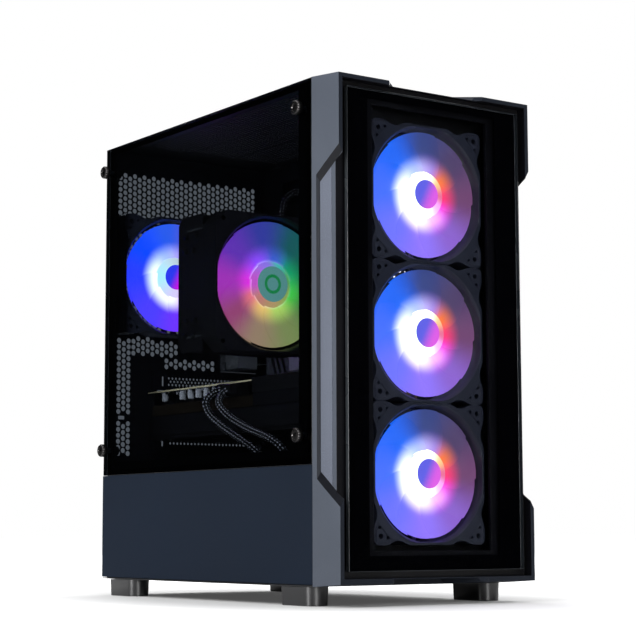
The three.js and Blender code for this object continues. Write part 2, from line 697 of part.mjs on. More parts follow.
function slotCover(row) {
  const z = SLOT_FIRST_Z - row * SLOT_PITCH;
  const halfHeight = SLOT_PITCH / 2 - 1;
  return block([-50, 70], [REAR_WALL[0] - GAP - SHEET, REAR_WALL[0] - GAP], [z - halfHeight, z + halfHeight]);
}

add('slot_cover_1', slotCover(0), 'steel');
add('slot_cover_2', slotCover(3), 'steel');

// ---------------------------------------------------------------- power supply

const SUPPLY_BACK = REAR_WALL[0] - GAP;
const SUPPLY_FAN_CENTRE = [6, 328];
const SUPPLY_WALL = 2;
const INLET = { x: [-56, -26], z: [66, 92] };
const SWITCH = { x: -12, z: 79, tilt: 8.8 };

function supplyCase() {
  const body = block([SUPPLY.x0, SUPPLY.x1], [SUPPLY.front, SUPPLY_BACK], [SUPPLY.bottom, SUPPLY.top]);
  const well = rod('z', SUPPLY_FAN_CENTRE, SUPPLY_FAN.tip + 2, [SUPPLY.bottom - 1, SUPPLY.bottom + 22]);
  const inside = block([SUPPLY.x0 + SUPPLY_WALL, SUPPLY.x1 - SUPPLY_WALL],
    [SUPPLY.front + SUPPLY_WALL, SUPPLY_BACK - SUPPLY_WALL],
    [SUPPLY.bottom + SUPPLY_WALL, SUPPLY.top - SUPPLY_WALL]);
  const backPlate = [SUPPLY_BACK - SUPPLY_WALL - 1, SUPPLY_BACK + 1];
  const inlet = block(INLET.x, backPlate, INLET.z);
  const rocker = block([SWITCH.x - 7, SWITCH.x + 7], backPlate, [SWITCH.z - 11, SWITCH.z + 11]);
  return cut(body, well, inside, inlet, rocker);
}

function supplyInlet() {
  const shrink = ([a, b]) => [a + GAP, b - GAP];
  const shell = block(shrink(INLET.x), [SUPPLY_BACK - 21, SUPPLY_BACK], shrink(INLET.z));
  const cavity = block([INLET.x[0] + 3, INLET.x[1] - 3], [SUPPLY_BACK - 16, SUPPLY_BACK + 1],
    [INLET.z[0] + 4, INLET.z[1] - 4]);
  return cut(shell, cavity);
}

// Rocker with two flat faces, turning about an axis along X; its lower half is pressed in.
function supplySwitch() {
  const outline = [[-7.5, -6], [-3, -8.6], [1.2, -9], [-0.2, 0], [1.2, 9], [-3, 8.6], [-7.5, 6]];
  return prism('x', outline, [-6, 6]);
}

add('psu_case', supplyCase(), 'darkMetal');
add('psu_inlet', supplyInlet(), 'plastic');
const rocker = piece('psu_switch', supplySwitch(), 'plastic');
rocker.position.set(SWITCH.x, SUPPLY_BACK - 1.4, SWITCH.z);
rocker.rotation.x = THREE.MathUtils.degToRad(-SWITCH.tilt);
tower.add(rocker);
const supplyRotor = piece('psu_fan', impeller(SUPPLY_FAN, [0, SUPPLY_FAN.height], 17), 'plastic');
supplyRotor.position.set(...SUPPLY_FAN_CENTRE, SUPPLY.bottom + 2.5);
tower.add(supplyRotor);

// ---------------------------------------------------------------- drive cage

function driveCage() {
  const bottom = BASE_Z + SHEET + GAP;
  const top = 104;
  const shelf = (bottom + top) / 2;
  const outer = block([-60, 60], [82, 196], [bottom, top]);
  const bays = [[bottom + SHEET, shelf - SHEET / 2], [shelf + SHEET / 2, top - SHEET]].map(
    (z) => block([-61, 60 - SHEET], [80, 198], z));
  return cut(outer, ...bays);
}

add('drive_cage', driveCage(), 'steel');

// ---------------------------------------------------------------- internal cables

const CARD_PLUG_X = CARD.edgeX - GAP;
const SUPPLY_PLUG_Y = SUPPLY.front - GAP;

add('gpu_cable_1', cable([
  [CARD_PLUG_X, 244, 193.8], [CARD_PLUG_X - 5, 244, 193.8], [-69, 252, 190], [-75.5, 254, 181],
  [-74, 247, 168.5], [-69, 226, 154.5], [-65, 204, 143.5], [-60, 188, 132], [-55, 186, 120],
  [-52, 200, 111], [-49, 226, 96], [-48, SUPPLY_PLUG_Y - 8, 88], [-48, SUPPLY_PLUG_Y, 88],
], 3.4, 32), 'sleeve');
add('gpu_cable_2', cable([
  [CARD_PLUG_X, 233, 192.8], [CARD_PLUG_X - 5, 233, 192.8], [-69, 237, 187.5], [-75.5, 230, 178],
  [-73, 215, 165.5], [-68, 192, 154.5], [-63, 166, 145], [-58, 151, 134], [-52, 151, 122],
  [-46, 168, 113], [-42, 200, 109], [-38, 230, 98], [-36, SUPPLY_PLUG_Y - 8, 92],
  [-36, SUPPLY_PLUG_Y, 92],
], 3.4, 32), 'sleeve');
add('atx_cable', cable([
  [66, 157.7, 316], [66, 152, 316], [66, 144, 309], [67, 140, 290], [68, 139, 240],
  [69, 139, 180], [68.5, 140, 136], [67, 150, 118], [63, 182, 115], [52, 218, 108],
  [44, SUPPLY_PLUG_Y - 9, 88], [44, SUPPLY_PLUG_Y, 88],
], 7, 32), 'sleeve');
add('eps_cable', cable([
  [69, 340, 384 + GAP], [69, 340, 391], [72, 338, 403], [82, 334, 411], [91.5, 328, 404],
  [92.5, 316, 380], [92.5, 290, 300], [92.5, 252, 180], [92.5, 228, 100], [90, 222, 74],
  [80, 220, 64], [66, 226, 60], [56, SUPPLY_PLUG_Y - 8, 58], [56, SUPPLY_PLUG_Y, 58],
], 3.6, 44), 'sleeve');

// ---------------------------------------------------------------- origin

tower.updateMatrixWorld(true);
const extent = new THREE.Box3().setFromObject(tower, true);
const centre = extent.getCenter(new THREE.Vector3());
tower.position.set(-centre.x, -centre.y, 0);
tower.updateMatrixWorld(true);

export default tower;
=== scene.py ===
import json
import math
import random

import bmesh
import bpy
from mathutils import Matrix, Vector
from mathutils.geometry import delaunay_2d_cdt


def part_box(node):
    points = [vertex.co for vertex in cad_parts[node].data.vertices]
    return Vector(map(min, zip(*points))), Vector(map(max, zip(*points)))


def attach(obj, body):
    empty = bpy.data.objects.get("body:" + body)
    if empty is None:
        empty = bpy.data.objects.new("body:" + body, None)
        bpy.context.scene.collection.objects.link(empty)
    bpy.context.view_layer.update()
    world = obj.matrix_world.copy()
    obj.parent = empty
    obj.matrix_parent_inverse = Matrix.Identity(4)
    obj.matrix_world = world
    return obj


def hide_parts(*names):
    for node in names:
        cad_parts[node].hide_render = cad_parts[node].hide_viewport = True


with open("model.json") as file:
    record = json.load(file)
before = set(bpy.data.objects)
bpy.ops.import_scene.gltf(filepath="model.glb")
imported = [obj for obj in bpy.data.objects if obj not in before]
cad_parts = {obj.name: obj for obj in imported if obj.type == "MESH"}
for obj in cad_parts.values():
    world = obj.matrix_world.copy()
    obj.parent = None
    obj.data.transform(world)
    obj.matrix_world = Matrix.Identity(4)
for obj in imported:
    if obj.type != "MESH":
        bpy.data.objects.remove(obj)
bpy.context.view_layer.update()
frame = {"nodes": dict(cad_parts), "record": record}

# ---------------------------------------------------------------- coordinates
# Shapes are given in the case's own millimetres: x = 0 is its centre plane, y = 0 the
# plane of the front rim and z = 0 the floor. place() turns them into the scene's metres.

MM = 0.001
bezel_low, bezel_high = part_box("front_bezel")
SHIFT = Vector(((bezel_low.x + bezel_high.x) / 2, bezel_low.y, 0.0))
BODY = {node: body for body, nodes in frame["record"]["behaviour"]["bodies"].items() for node in nodes}

SIDE_X = 104.3
REAR_Y = 399.5
FRONT_FAN_Z = [109.7, 230, 350.3]


def place(point):
    return Vector(point) * MM + SHIFT


def lift(axis, u, v, w):
    """The point at w along an axis, with u and v along the other two in X, Y, Z order."""
    return {"x": (w, u, v), "y": (u, w, v), "z": (u, v, w)}[axis]


def srgb(r, g, b):
    """A linear colour from 0 to 255 display values."""
    return tuple(((c / 255 + 0.055) / 1.055) ** 2.4 if c > 10 else c / 255 / 12.92 for c in (r, g, b))


def colours(*rows):
    """Colour stops from rows of position, red, green and blue."""
    return [(at, srgb(r, g, b)) for at, r, g, b in rows]


def levels(*rows):
    """Grey stops from rows of position and level."""
    return [(at, (level, level, level)) for at, level in rows]


# ---------------------------------------------------------------- shapes


def ring(centre, radius, sides, turn=0.0):
    """A regular outline round a centre."""
    u, v = centre
    steps = [2 * math.pi * k / sides + turn for k in range(sides)]
    return [(u + radius * math.cos(a), v + radius * math.sin(a)) for a in steps]


def rectangle(u, v):
    return [(u[0], v[0]), (u[1], v[0]), (u[1], v[1]), (u[0], v[1])]


def rounded(u, v, radius, steps=4):
    """A rectangle with round corners."""
    outline = []
    corners = [(u[1], v[1], 0), (u[0], v[1], 1), (u[0], v[0], 2), (u[1], v[0], 3)]
    for cu, cv, quarter in corners:
        cu += -radius if cu == u[1] else radius
        cv += -radius if cv == v[1] else radius
        for k in range(steps + 1):
            a = (quarter + k / steps) * math.pi / 2
            outline.append((cu + radius * math.cos(a), cv + radius * math.sin(a)))
    return outline


def honeycomb(u, v, across=5.5, up=5.95):
    """Centres of staggered columns inside a rectangle."""
    centres = []
    columns = int((u[1] - u[0]) / across + 1e-6)
    rows = int((v[1] - v[0]) / up + 1e-6)
    for i in range(columns + 1):
        offset = up / 2 if i % 2 else 0
        for j in range(rows + 1):
            y = v[0] + j * up + offset
            if y <= v[1] + 1e-6:
                centres.append((u[0] + i * across, y))
    return centres


def tiled(outline, holes):
    """Points and triangles that fill an outline outside its holes."""
    points, loops = [], []
    for loop in [outline, *holes]:
        loops.append(list(range(len(points), len(points) + len(loop))))
        points += [Vector(p) for p in loop]
    flat, _, cells, _, _, owners = delaunay_2d_cdt(points, [], loops, 1, 1e-7, True)
    return flat, [c for c, own in zip(cells, owners) if own == [0]]


class Shape:
    """Closed shells in millimetres that become one piece."""

    def __init__(self):
        self.verts, self.faces, self.inks, self.uvs = [], [], [], {}

    def add(self, verts, faces, ink=0):
        base = len(self.verts)
        self.verts += [Vector(v) for v in verts]
        self.faces += [[base + i for i in face] for face in faces]
        self.inks += [ink] * len(faces)
        return self

    def box(self, x, y, z, ink=0):
        corners = [(a, b, c) for a in x for b in y for c in z]
        sides = [(0, 1, 3, 2), (4, 6, 7, 5), (0, 4, 5, 1), (2, 3, 7, 6), (0, 2, 6, 4), (1, 5, 7, 3)]
        return self.add(corners, sides, ink)

    def loft(self, axis, loops, ink=0, capped=True):
        """Skin through (w, outline) loops of equal length, with flat ends."""
        n = len(loops[0][1])
        verts = [lift(axis, u, v, w) for w, loop in loops for u, v in loop]
        faces = []
        for k in range(len(loops) - 1):
            for i in range(n):
                j = (i + 1) % n
                faces.append((k * n + i, k * n + j, (k + 1) * n + j, (k + 1) * n + i))
        if capped:
            faces += [tuple(range(n)), tuple(range((len(loops) - 1) * n, len(loops) * n))]
        return self.add(verts, faces, ink)

    def prism(self, axis, outline, span, ink=0):
        return self.loft(axis, [(span[0], outline), (span[1], outline)], ink)

    def turned(self, axis, centre, profile, ink=0, sides=32):
        """Body of revolution through (w, radius) points."""
        loops = [(w, ring(centre, max(radius, 1e-3), sides)) for w, radius in profile]
        return self.loft(axis, loops, ink)

    def pierced(self, axis, outline, bores, span, ink=0):
        """Slab with openings; each bore is a list of (w, outline) loops from one face to the other."""
        for end, w in ((0, span[0]), (-1, span[1])):
            flat, cells = tiled(outline, [bore[end][1] for bore in bores])
            self.add([lift(axis, p[0], p[1], w) for p in flat], cells, ink)
        self.loft(axis, [(span[0], outline), (span[1], outline)], ink, capped=False)
        for bore in bores:
            self.loft(axis, bore, ink, capped=False)
        return self

    def plate(self, axis, outline, holes, span, ink=0):
        return self.pierced(axis, outline, [[(span[0], h), (span[1], h)] for h in holes], span, ink)

    def tube(self, points, radius, sides=12, ink=0, steps=8):
        """Round tube along a smooth curve, with lengthwise and round-the-tube coordinates."""
        path = smooth_path(points, steps)
        frames = transported(path)
        base = len(self.verts)
        verts, faces, along = [], [], 0.0
        for k, (point, side, up) in enumerate(frames):
            if k:
                along += (point - frames[k - 1][0]).length
            for i in range(sides + 1):
                a = 2 * math.pi * i / sides
                verts.append(point + radius * (math.cos(a) * side + math.sin(a) * up))
                self.uvs[base + len(verts) - 1] = (along, i / sides)
        row = sides + 1
        for k in range(len(frames) - 1):
            for i in range(sides):
                faces.append((k * row + i, k * row + i + 1, (k + 1) * row + i + 1, (k + 1) * row + i))
        last = (len(frames) - 1) * row
        faces += [tuple(range(sides)), tuple(range(last, last + sides))]
        return self.add(verts, faces, ink)

    def piece(self, name, materials, node=None, body=None, centre=None, bevel=0.0, smooth=32, slot=None,
              also=(), segments=2):
        """Makes the object: in place, on its body, standing for its CAD nodes."""
        middle = Vector(centre) if centre else Vector((0, 0, 0))
        mesh = bpy.data.meshes.new(name)
        mesh.from_pydata([(v - middle) * MM for v in self.verts], [], self.faces)
        if self.uvs:
            layer = mesh.uv_layers.new(name="UVMap")
            for loop in mesh.loops:
                layer.data[loop.index].uv = self.uvs.get(loop.vertex_index, (0, 0))
        for material in materials:
            mesh.materials.append(material)
        mesh.polygons.foreach_set("material_index", self.inks)
        bm = bmesh.new()
        bm.from_mesh(mesh)
        if not self.uvs:
            bmesh.ops.remove_doubles(bm, verts=bm.verts, dist=1e-7)
        bmesh.ops.recalc_face_normals(bm, faces=bm.faces)
        bm.to_mesh(mesh)
        bm.free()
        return settle(name, mesh, node, body, middle, bevel, smooth, also, segments)


def settle(name, mesh, node, body, middle, bevel, smooth, also=(), segments=2, edge=-1):
    obj = bpy.data.objects.new(name, mesh)
    bpy.context.scene.collection.objects.link(obj)
    obj.location = place(middle)
    if bevel:
        rounding = obj.modifiers.new("edges", "BEVEL")
        rounding.width = bevel * MM
        rounding.segments = segments
        rounding.limit_method = "ANGLE"
        rounding.angle_limit = math.radians(28)
        rounding.harden_normals = True
        rounding.material = edge
    mesh.shade_smooth()
    mesh.set_sharp_from_angle(angle=math.radians(smooth))
    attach(obj, body or BODY[node])
    if node:
        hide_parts(node, *also)
    return obj


def refined(node, materials, bevel=0.4, ink=None, smooth=32, segments=2, edge=-1):
    """The CAD node's own shape with rounded edges, as a new piece that stands for it."""
    mesh = frame["nodes"][node].data.copy()
    mesh.materials.clear()
    for material in materials:
        mesh.materials.append(material)
    bm = bmesh.new()
    bm.from_mesh(mesh)
    bmesh.ops.remove_doubles(bm, verts=bm.verts, dist=1e-6)
    bmesh.ops.dissolve_limit(bm, angle_limit=math.radians(0.5), verts=bm.verts, edges=bm.edges)
    for face in bm.faces:
        face.material_index = ink((face.calc_center_median() - SHIFT) / MM, face.normal) if ink else 0
    bmesh.ops.translate(bm, verts=bm.verts, vec=-SHIFT)
    bm.to_mesh(mesh)
    bm.free()
    return settle(f"{node}_finished", mesh, node, None, Vector((0, 0, 0)), bevel, smooth,
                  segments=segments, edge=edge)


def smooth_path(points, steps):
    """Catmull-Rom curve through the points."""
    points = [Vector(p) for p in points]
    padded = [2 * points[0] - points[1], *points, 2 * points[-1] - points[-2]]
    path = []
    for a, b, c, d in zip(padded, padded[1:], padded[2:], padded[3:]):
        for k in range(steps):
            t = k / steps
            path.append(0.5 * (2 * b + (c - a) * t + (2 * a - 5 * b + 4 * c - d) * t * t
                               + (3 * b - a - 3 * c + d) * t ** 3))
    return [*path, points[-1]]


def transported(path):
    """Each point of a path with two steady directions across it."""
    frames, side = [], None
    for k, point in enumerate(path):
        ahead = path[min(k + 1, len(path) - 1)] - path[max(k - 1, 0)]
        ahead.normalize()
        if side is None:
            side = ahead.orthogonal().normalized()
        side = (side - ahead * side.dot(ahead)).normalized()
        frames.append((point, side, ahead.cross(side)))
    return frames


# ---------------------------------------------------------------- materials


class Paint:
    """A Principled material and its node tree, with short ways to add nodes."""

    def __init__(self, name, **values):
        self.material = bpy.data.materials.new(name)
        self.material.use_nodes = True
        self.tree = self.material.node_tree
        self.shader = self.tree.nodes["Principled BSDF"]
        self.coords = self.node("ShaderNodeTexCoord")
        for key, value in values.items():
            self.shader.inputs[key].default_value = value

    def node(self, kind, links=(), **values):
        n = self.tree.nodes.new(kind)
        for key, value in values.items():
            if key in n.inputs:
                n.inputs[key].default_value = value
            else:
                setattr(n, key, value)
        for key, source in dict(links).items():
            self.tree.links.new(source, n.inputs[key])
        return n

    def math(self, operation, a, b=None, c=None, clamp=False):
        n = self.node("ShaderNodeMath", operation=operation, use_clamp=clamp)
        for i, value in enumerate((a, b, c)):
            if value is None:
                continue
            if isinstance(value, (int, float)):
                n.inputs[i].default_value = value
            else:
                self.tree.links.new(value, n.inputs[i])
        return n.outputs[0]

    def noise(self, scale, detail=3.0, roughness=0.55, vector=None):
        links = {"Vector": vector or self.coords.outputs["Object"]}
        n = self.node("ShaderNodeTexNoise", links, Scale=scale, Detail=detail, Roughness=roughness)
        return n.outputs["Fac"]

    def span(self, value, low, high, out_low, out_high, smooth=False):
        n = self.node("ShaderNodeMapRange", {"Value": value})
        n.interpolation_type = "SMOOTHSTEP" if smooth else "LINEAR"
        for key, number in (("From Min", low), ("From Max", high), ("To Min", out_low), ("To Max", out_high)):
            n.inputs[key].default_value = number
        return n.outputs["Result"]

    def ramp(self, value, stops):
        n = self.node("ShaderNodeValToRGB", {"Fac": value})
        n.color_ramp.interpolation = "EASE"
        while len(n.color_ramp.elements) < len(stops):
            n.color_ramp.elements.new(0.5)
        for element, (position, colour) in zip(n.color_ramp.elements, stops):
            element.position = position
            element.color = (*colour, 1)
        return n.outputs["Color"]

    def mix(self, factor, a, b, blend="MIX"):
        n = self.tree.nodes.new("ShaderNodeMix")
        n.data_type = "RGBA"
        n.blend_type = blend
        for socket, value in ((n.inputs[0], factor), (n.inputs[6], a), (n.inputs[7], b)):
            if isinstance(value, (int, float)):
                socket.default_value = value
            elif isinstance(value, tuple):
                socket.default_value = (*value, 1)
            else:
                self.tree.links.new(value, socket)
        return n.outputs[2]

    def axes(self):
        """X, Y and Z of the object's own coordinates."""
        return self.node("ShaderNodeSeparateXYZ", {0: self.coords.outputs["Object"]}).outputs

    def turn(self, axes):
        """Share of a turn round Y, from the left through the bottom, as the front sees it."""
        angle = self.math("ARCTAN2", axes["Z"], axes["X"])
        return self.math("MULTIPLY_ADD", angle, 1 / (2 * math.pi), 0.5)

    def radius(self, axes):
        """Distance from the Y axis."""
        flat = self.node("ShaderNodeCombineXYZ", {"X": axes["X"], "Y": axes["Z"]})
        return self.node("ShaderNodeVectorMath", {0: flat.outputs[0]}, operation="LENGTH").outputs["Value"]

    def feed(self, key, source):
        self.tree.links.new(source, self.shader.inputs[key])

    def bump(self, height, strength, distance=0.0002):
        n = self.node("ShaderNodeBump", {"Height": height}, Strength=strength, Distance=distance)
        self.tree.links.new(n.outputs["Normal"], self.shader.inputs["Normal"])


def surface(name, colour, roughness, metallic=0.0, grain=1500, bump=0.2, mottle=0.15, spread=0.08,
            speckle=0.0, shine=0.5):
    """A solid finish: fine grain in colour and height, with broad drifts of gloss and shade."""
    p = Paint(name, **{"Metallic": metallic, "Specular IOR Level": shine})
    fine = p.noise(grain, 4.0, 0.7)
    broad = p.noise(9, 3.0)
    dark = tuple(c * (1 - mottle) for c in colour)
    light = tuple(min(1, c * (1 + mottle)) for c in colour)
    tone = p.mix(p.span(broad, 0.3, 0.7, 0, 1), dark, light)
    if speckle:
        bright = tuple(min(1, c * (1 + 2.2 * speckle)) for c in colour)
        deep = tuple(c * (1 - 0.7 * speckle) for c in colour)
        tone = p.mix(p.span(fine, 0.56, 0.72, 0, 1), tone, bright)
        tone = p.mix(p.span(fine, 0.44, 0.28, 0, 1), tone, deep)
    p.feed("Base Color", tone)
    p.feed("Roughness", p.span(broad, 0.3, 0.7, roughness - spread, roughness + spread))
    p.bump(fine, bump)
    return p.material


def smoked_glass(name, tint, mirror, gloss=0.02):
    """Clear tinted glass: light passes straight through it, and its faces reflect more at a slant."""
    p = Paint(name, Metallic=1.0)
    p.shader.inputs["Base Color"].default_value = (0.96, 0.97, 1.0, 1)
    p.feed("Roughness", p.span(p.noise(3), 0.3, 0.7, gloss, gloss + 0.02))
    clear = p.node("ShaderNodeBsdfTransparent")
    clear.inputs["Color"].default_value = (*tint, 1)
    slant = p.node("ShaderNodeLayerWeight", Blend=0.5).outputs["Facing"]
    reflected = p.math("MULTIPLY_ADD", p.math("POWER", slant, 8.0), 0.9, mirror)
    blend = p.node("ShaderNodeMixShader", {0: reflected, 1: clear.outputs[0], 2: p.shader.outputs[0]})
    p.tree.links.new(blend.outputs[0], p.tree.nodes["Material Output"].inputs["Surface"])
    return p.material


def lit(name, outer, inner, halo, strength, reach, halo_reach, glow, back=0.25):
    """Frosted plastic lit from the hub. Stops run round the fan from its left, through its
    bottom, right and top, as the front sees it; reach is where inner gives way to outer."""
    p = Paint(name, Roughness=0.45)
    p.shader.inputs["Base Color"].default_value = (0.06, 0.06, 0.07, 1)
    p.feed("Roughness", p.span(p.noise(60), 0.3, 0.7, 0.38, 0.5))
    axes = p.axes()
    turn, radius = p.turn(axes), p.radius(axes)
    far = p.span(radius, reach[0] * MM, reach[1] * MM, 0, 1, True)
    colour = p.mix(far, p.ramp(turn, inner), p.ramp(turn, outer))
    near = p.span(radius, halo_reach[0] * MM, halo_reach[1] * MM, 1, 0, True)
    weight = p.math("MULTIPLY", near, p.ramp(turn, halo))
    colour = p.mix(weight, colour, (1.0, 1.0, 1.0))
    p.feed("Emission Color", colour)
    power = p.math("MULTIPLY_ADD", weight, glow * strength, strength)
    normal = p.node("ShaderNodeSeparateXYZ", {0: p.coords.outputs["Normal"]})
    facing = p.span(normal.outputs["Y"], -0.25, 0.25, 1, back, True)
    p.feed("Emission Strength", p.math("MULTIPLY", power, facing))
    p.bump(p.noise(400), 0.1)
    return p.material


def braided(name, colour, fleck):
    """Woven sleeve: two crossing sets of strands along a tube."""
    p = Paint(name, Roughness=0.6)
    axes = p.node("ShaderNodeSeparateXYZ", {0: p.coords.outputs["UV"]})
    round_it = p.math("MULTIPLY", axes.outputs["Y"], 7.0)
    along = p.math("MULTIPLY", axes.outputs["X"], 0.3)
    one = p.math("SINE", p.math("MULTIPLY", p.math("ADD", along, round_it), math.pi))
    two = p.math("SINE", p.math("MULTIPLY", p.math("SUBTRACT", along, round_it), math.pi))
    weave = p.math("MAXIMUM", one, two)
    p.feed("Base Color", p.mix(p.span(p.math("MULTIPLY", one, two), 0.5, 0.75, 0, 1), colour, fleck))
    p.feed("Roughness", p.span(p.noise(300), 0.3, 0.7, 0.5, 0.75))
    p.bump(weave, 0.8, 0.0004)
    return p.material


def meshed(name, colour, count, cover):
    """Fine filter cloth, woven both ways; cover is the share of it that is thread."""
    p = Paint(name, Roughness=0.8)
    axes = p.axes()
    one = p.math("SINE", p.math("MULTIPLY", axes["X"], count))
    two = p.math("SINE", p.math("MULTIPLY", axes["Y"], count))
    weave = p.math("MAXIMUM", one, two)
    p.feed("Base Color", p.mix(p.span(weave, -0.5, 0.9, 0, 1), tuple(c * 0.4 for c in colour), colour))
    p.feed("Roughness", p.span(p.noise(200), 0.3, 0.7, 0.7, 0.9))
    p.shader.inputs["Alpha"].default_value = cover
    p.bump(weave, 0.6, 0.0003)
    return p.material


def circuit(name, mask, trace):
    """Circuit board: solder mask with faint copper runs under it."""
    p = Paint(name, Roughness=0.4)
    bricks = p.node("ShaderNodeTexBrick", {"Vector": p.coords.outputs["Object"]}, Scale=160.0)
    bricks.inputs["Mortar Size"].default_value = 0.03
    lines = p.noise(260, 2.0)
    p.feed("Base Color", p.mix(p.span(lines, 0.5, 0.56, 0, 0.8), mask, trace))
    p.feed("Roughness", p.span(lines, 0.4, 0.6, 0.35, 0.5))
    p.bump(p.math("ADD", lines, bricks.outputs["Fac"]), 0.25)
    return p.material


STEEL = surface("powder_coat", srgb(29, 38, 52), 0.55, 0.0, 1800, 0.25, 0.06, speckle=0.12, shine=0.05)
CASE_BLACK = surface("inner_steel", (0.007, 0.008, 0.011), 0.5, 0.0, 1800, 0.25, 0.15)
BEZEL = surface("bezel_plastic", srgb(90, 96, 107), 0.45, 0.0, 2200, 0.2, 0.06, speckle=0.16, shine=0.08)
# Faces in the hollows of the bezel's sides: painted near black as the shade in the hollows.
BEZEL_HOLLOW_SHADE = surface("bezel_hollows_painted_shade", (0.005, 0.006, 0.01), 0.4, 0.0, 2200, 0.15, shine=0.2)
# The bezel's front, top and slanted faces: the plastic of its sides, painted darker as shade.
BEZEL_SLOPE_SHADE = surface("bezel_slopes_painted_shade", srgb(38, 42, 50), 0.4, 0.0, 2200, 0.2, 0.06, speckle=0.16, shine=0.08)
BEZEL_STRIP = surface("bezel_strip", srgb(114, 120, 134), 0.5, 0.0, 1300, 0.6, 0.06, speckle=0.4, shine=0.1)
# Inside of the front panel behind the front glass: painted near black as the shade in that recess.
BEZEL_RECESS_SHADE = surface("bezel_inner_painted_shade", (0.0025, 0.0025, 0.0045), 0.45, 0.0, 1500, 0.15, shine=0.25)
SIDE_GLASS = smoked_glass("side_glass_tint", (0.27, 0.29, 0.315), 0.006)
FRONT_GLASS = smoked_glass("front_glass_tint", (0.8, 0.81, 0.83), 0.0005)
# Opaque grey on the panes' edges and edge rounding: a painted highlight line along each edge.
GLASS_EDGE_HIGHLIGHT = surface("glass_edge_painted_highlight", srgb(46, 50, 54), 0.25, 0.0, 300, 0.05)
GLASS_PRINT = surface("glass_print", (0.002, 0.002, 0.003), 0.7, 0.0, 900, 0.02, shine=0.0)
FOOT = surface("foot_plastic", (0.003, 0.003, 0.005), 0.3, 0.0, 900, 0.04, spread=0.04, shine=0.8)
SCREW = surface("black_nickel", (0.06, 0.057, 0.057), 0.28, 1.0, 900, 0.1)
BARE = surface("bare_metal", (0.62, 0.63, 0.65), 0.3, 1.0, 700, 0.1)
BRASS = surface("contact_metal", (0.75, 0.58, 0.25), 0.3, 1.0, 700, 0.1)
# Frames of the eared fans: black plastic painted a lighter grey, standing in for light reaching them through
# the glass (painted light).
FAN_FRAME_LIT = surface("fan_frame_painted_light", srgb(52, 56, 70), 0.4, 0.0, 1300, 0.15)
PLASTIC = surface("black_plastic", (0.009, 0.009, 0.011), 0.42, 0.0, 1300, 0.2)
GLOSS = surface("gloss_plastic", (0.008, 0.008, 0.01), 0.12, 0.0, 300, 0.03, spread=0.04)
FIN = surface("fin_metal", (0.045, 0.045, 0.05), 0.35, 0.9, 700, 0.1)
WARM_FIN = surface("card_fin_metal", (0.2, 0.15, 0.1), 0.4, 0.9, 700, 0.1)
GREY_FIN = surface("grey_heatsink", (0.18, 0.19, 0.2), 0.35, 0.8, 900, 0.15)
GREY_PAINT = surface("grey_paint", (0.16, 0.17, 0.19), 0.5, 0.0, 900, 0.1)
SHELL = surface("connector_shell", (0.62, 0.63, 0.66), 0.4, 0.3, 700, 0.06)
BOARD = circuit("board_mask", (0.008, 0.009, 0.011), (0.02, 0.022, 0.026))
BOARD_EDGE = surface("board_edge", srgb(235, 220, 175), 0.6, 0.0, 900, 0.2)
CHIP = surface("chip_black", (0.01, 0.01, 0.011), 0.5, 0.0, 600, 0.1)
PALE = surface("pale_part", (0.72, 0.72, 0.74), 0.4, 0.1, 600, 0.05)
BLUE = surface("socket_blue", (0.02, 0.09, 0.5), 0.4, 0.0, 600, 0.05)
TEAL = surface("socket_teal", (0.02, 0.4, 0.35), 0.4, 0.0, 600, 0.05)
FILTER = meshed("filter_cloth", (0.03, 0.03, 0.034), 6000, 0.65)
SLEEVE = braided("cable_sleeve", (0.006, 0.006, 0.008), (0.6, 0.61, 0.66))

FRONT_OUTER = colours((0.0, 60, 105, 255), (0.12, 105, 110, 255), (0.25, 140, 112, 240),
                      (0.36, 135, 92, 195), (0.5, 105, 58, 100), (0.62, 70, 52, 92),
                      (0.75, 42, 58, 120), (0.88, 0, 96, 235), (1.0, 60, 105, 255))
FRONT_INNER = colours((0.0, 110, 160, 255), (0.22, 205, 150, 255), (0.38, 255, 60, 250),
                      (0.5, 255, 50, 110), (0.6, 255, 120, 50), (0.7, 150, 110, 220),
                      (0.86, 10, 125, 255), (1.0, 110, 160, 255))
FRONT_HALO = levels((0.0, 1.0), (0.2, 0.9), (0.34, 0.35), (0.45, 0.0), (0.62, 0.0), (0.8, 0.35), (1.0, 1.0))
REAR_OUTER = colours((0.0, 40, 60, 255), (0.15, 80, 60, 255), (0.28, 120, 50, 240),
                     (0.4, 200, 20, 240), (0.5, 150, 40, 190), (0.65, 110, 80, 170),
                     (0.78, 40, 90, 220), (0.9, 0, 70, 255), (1.0, 40, 60, 255))
COOLER_OUTER = colours((0.0, 165, 40, 165), (0.1, 150, 60, 100), (0.2, 150, 120, 90),
                       (0.32, 120, 130, 70), (0.45, 60, 120, 50), (0.56, 0, 100, 60),
                       (0.66, 0, 80, 75), (0.78, 45, 50, 140), (0.9, 95, 40, 160),
                       (1.0, 165, 40, 165))
COOLER_INNER = colours((0.0, 235, 40, 210), (0.08, 240, 110, 120), (0.18, 245, 190, 100),
                       (0.3, 180, 210, 90), (0.45, 60, 190, 60), (0.6, 0, 150, 90),
                       (0.72, 60, 90, 190), (0.85, 150, 70, 240), (1.0, 235, 40, 210))
COOLER_HALO = levels((0.0, 0.4), (0.2, 0.25), (0.35, 0.2), (0.5, 0.1), (0.75, 0.2), (0.88, 0.6), (1.0, 0.4))
FRONT_LIT = lit("front_blades", FRONT_OUTER, FRONT_INNER, FRONT_HALO, 1.6, (20, 40), (22, 37), 0.5, 1.0)
REAR_LIT = lit("rear_blades", REAR_OUTER, FRONT_INNER, FRONT_HALO, 12.0, (20, 38), (22, 38), 0.3)
COOLER_LIT = lit("cooler_blades", COOLER_OUTER, COOLER_INNER, COOLER_HALO, 12.0, (22, 42), (20, 25), 0.3)

# ---------------------------------------------------------------- case

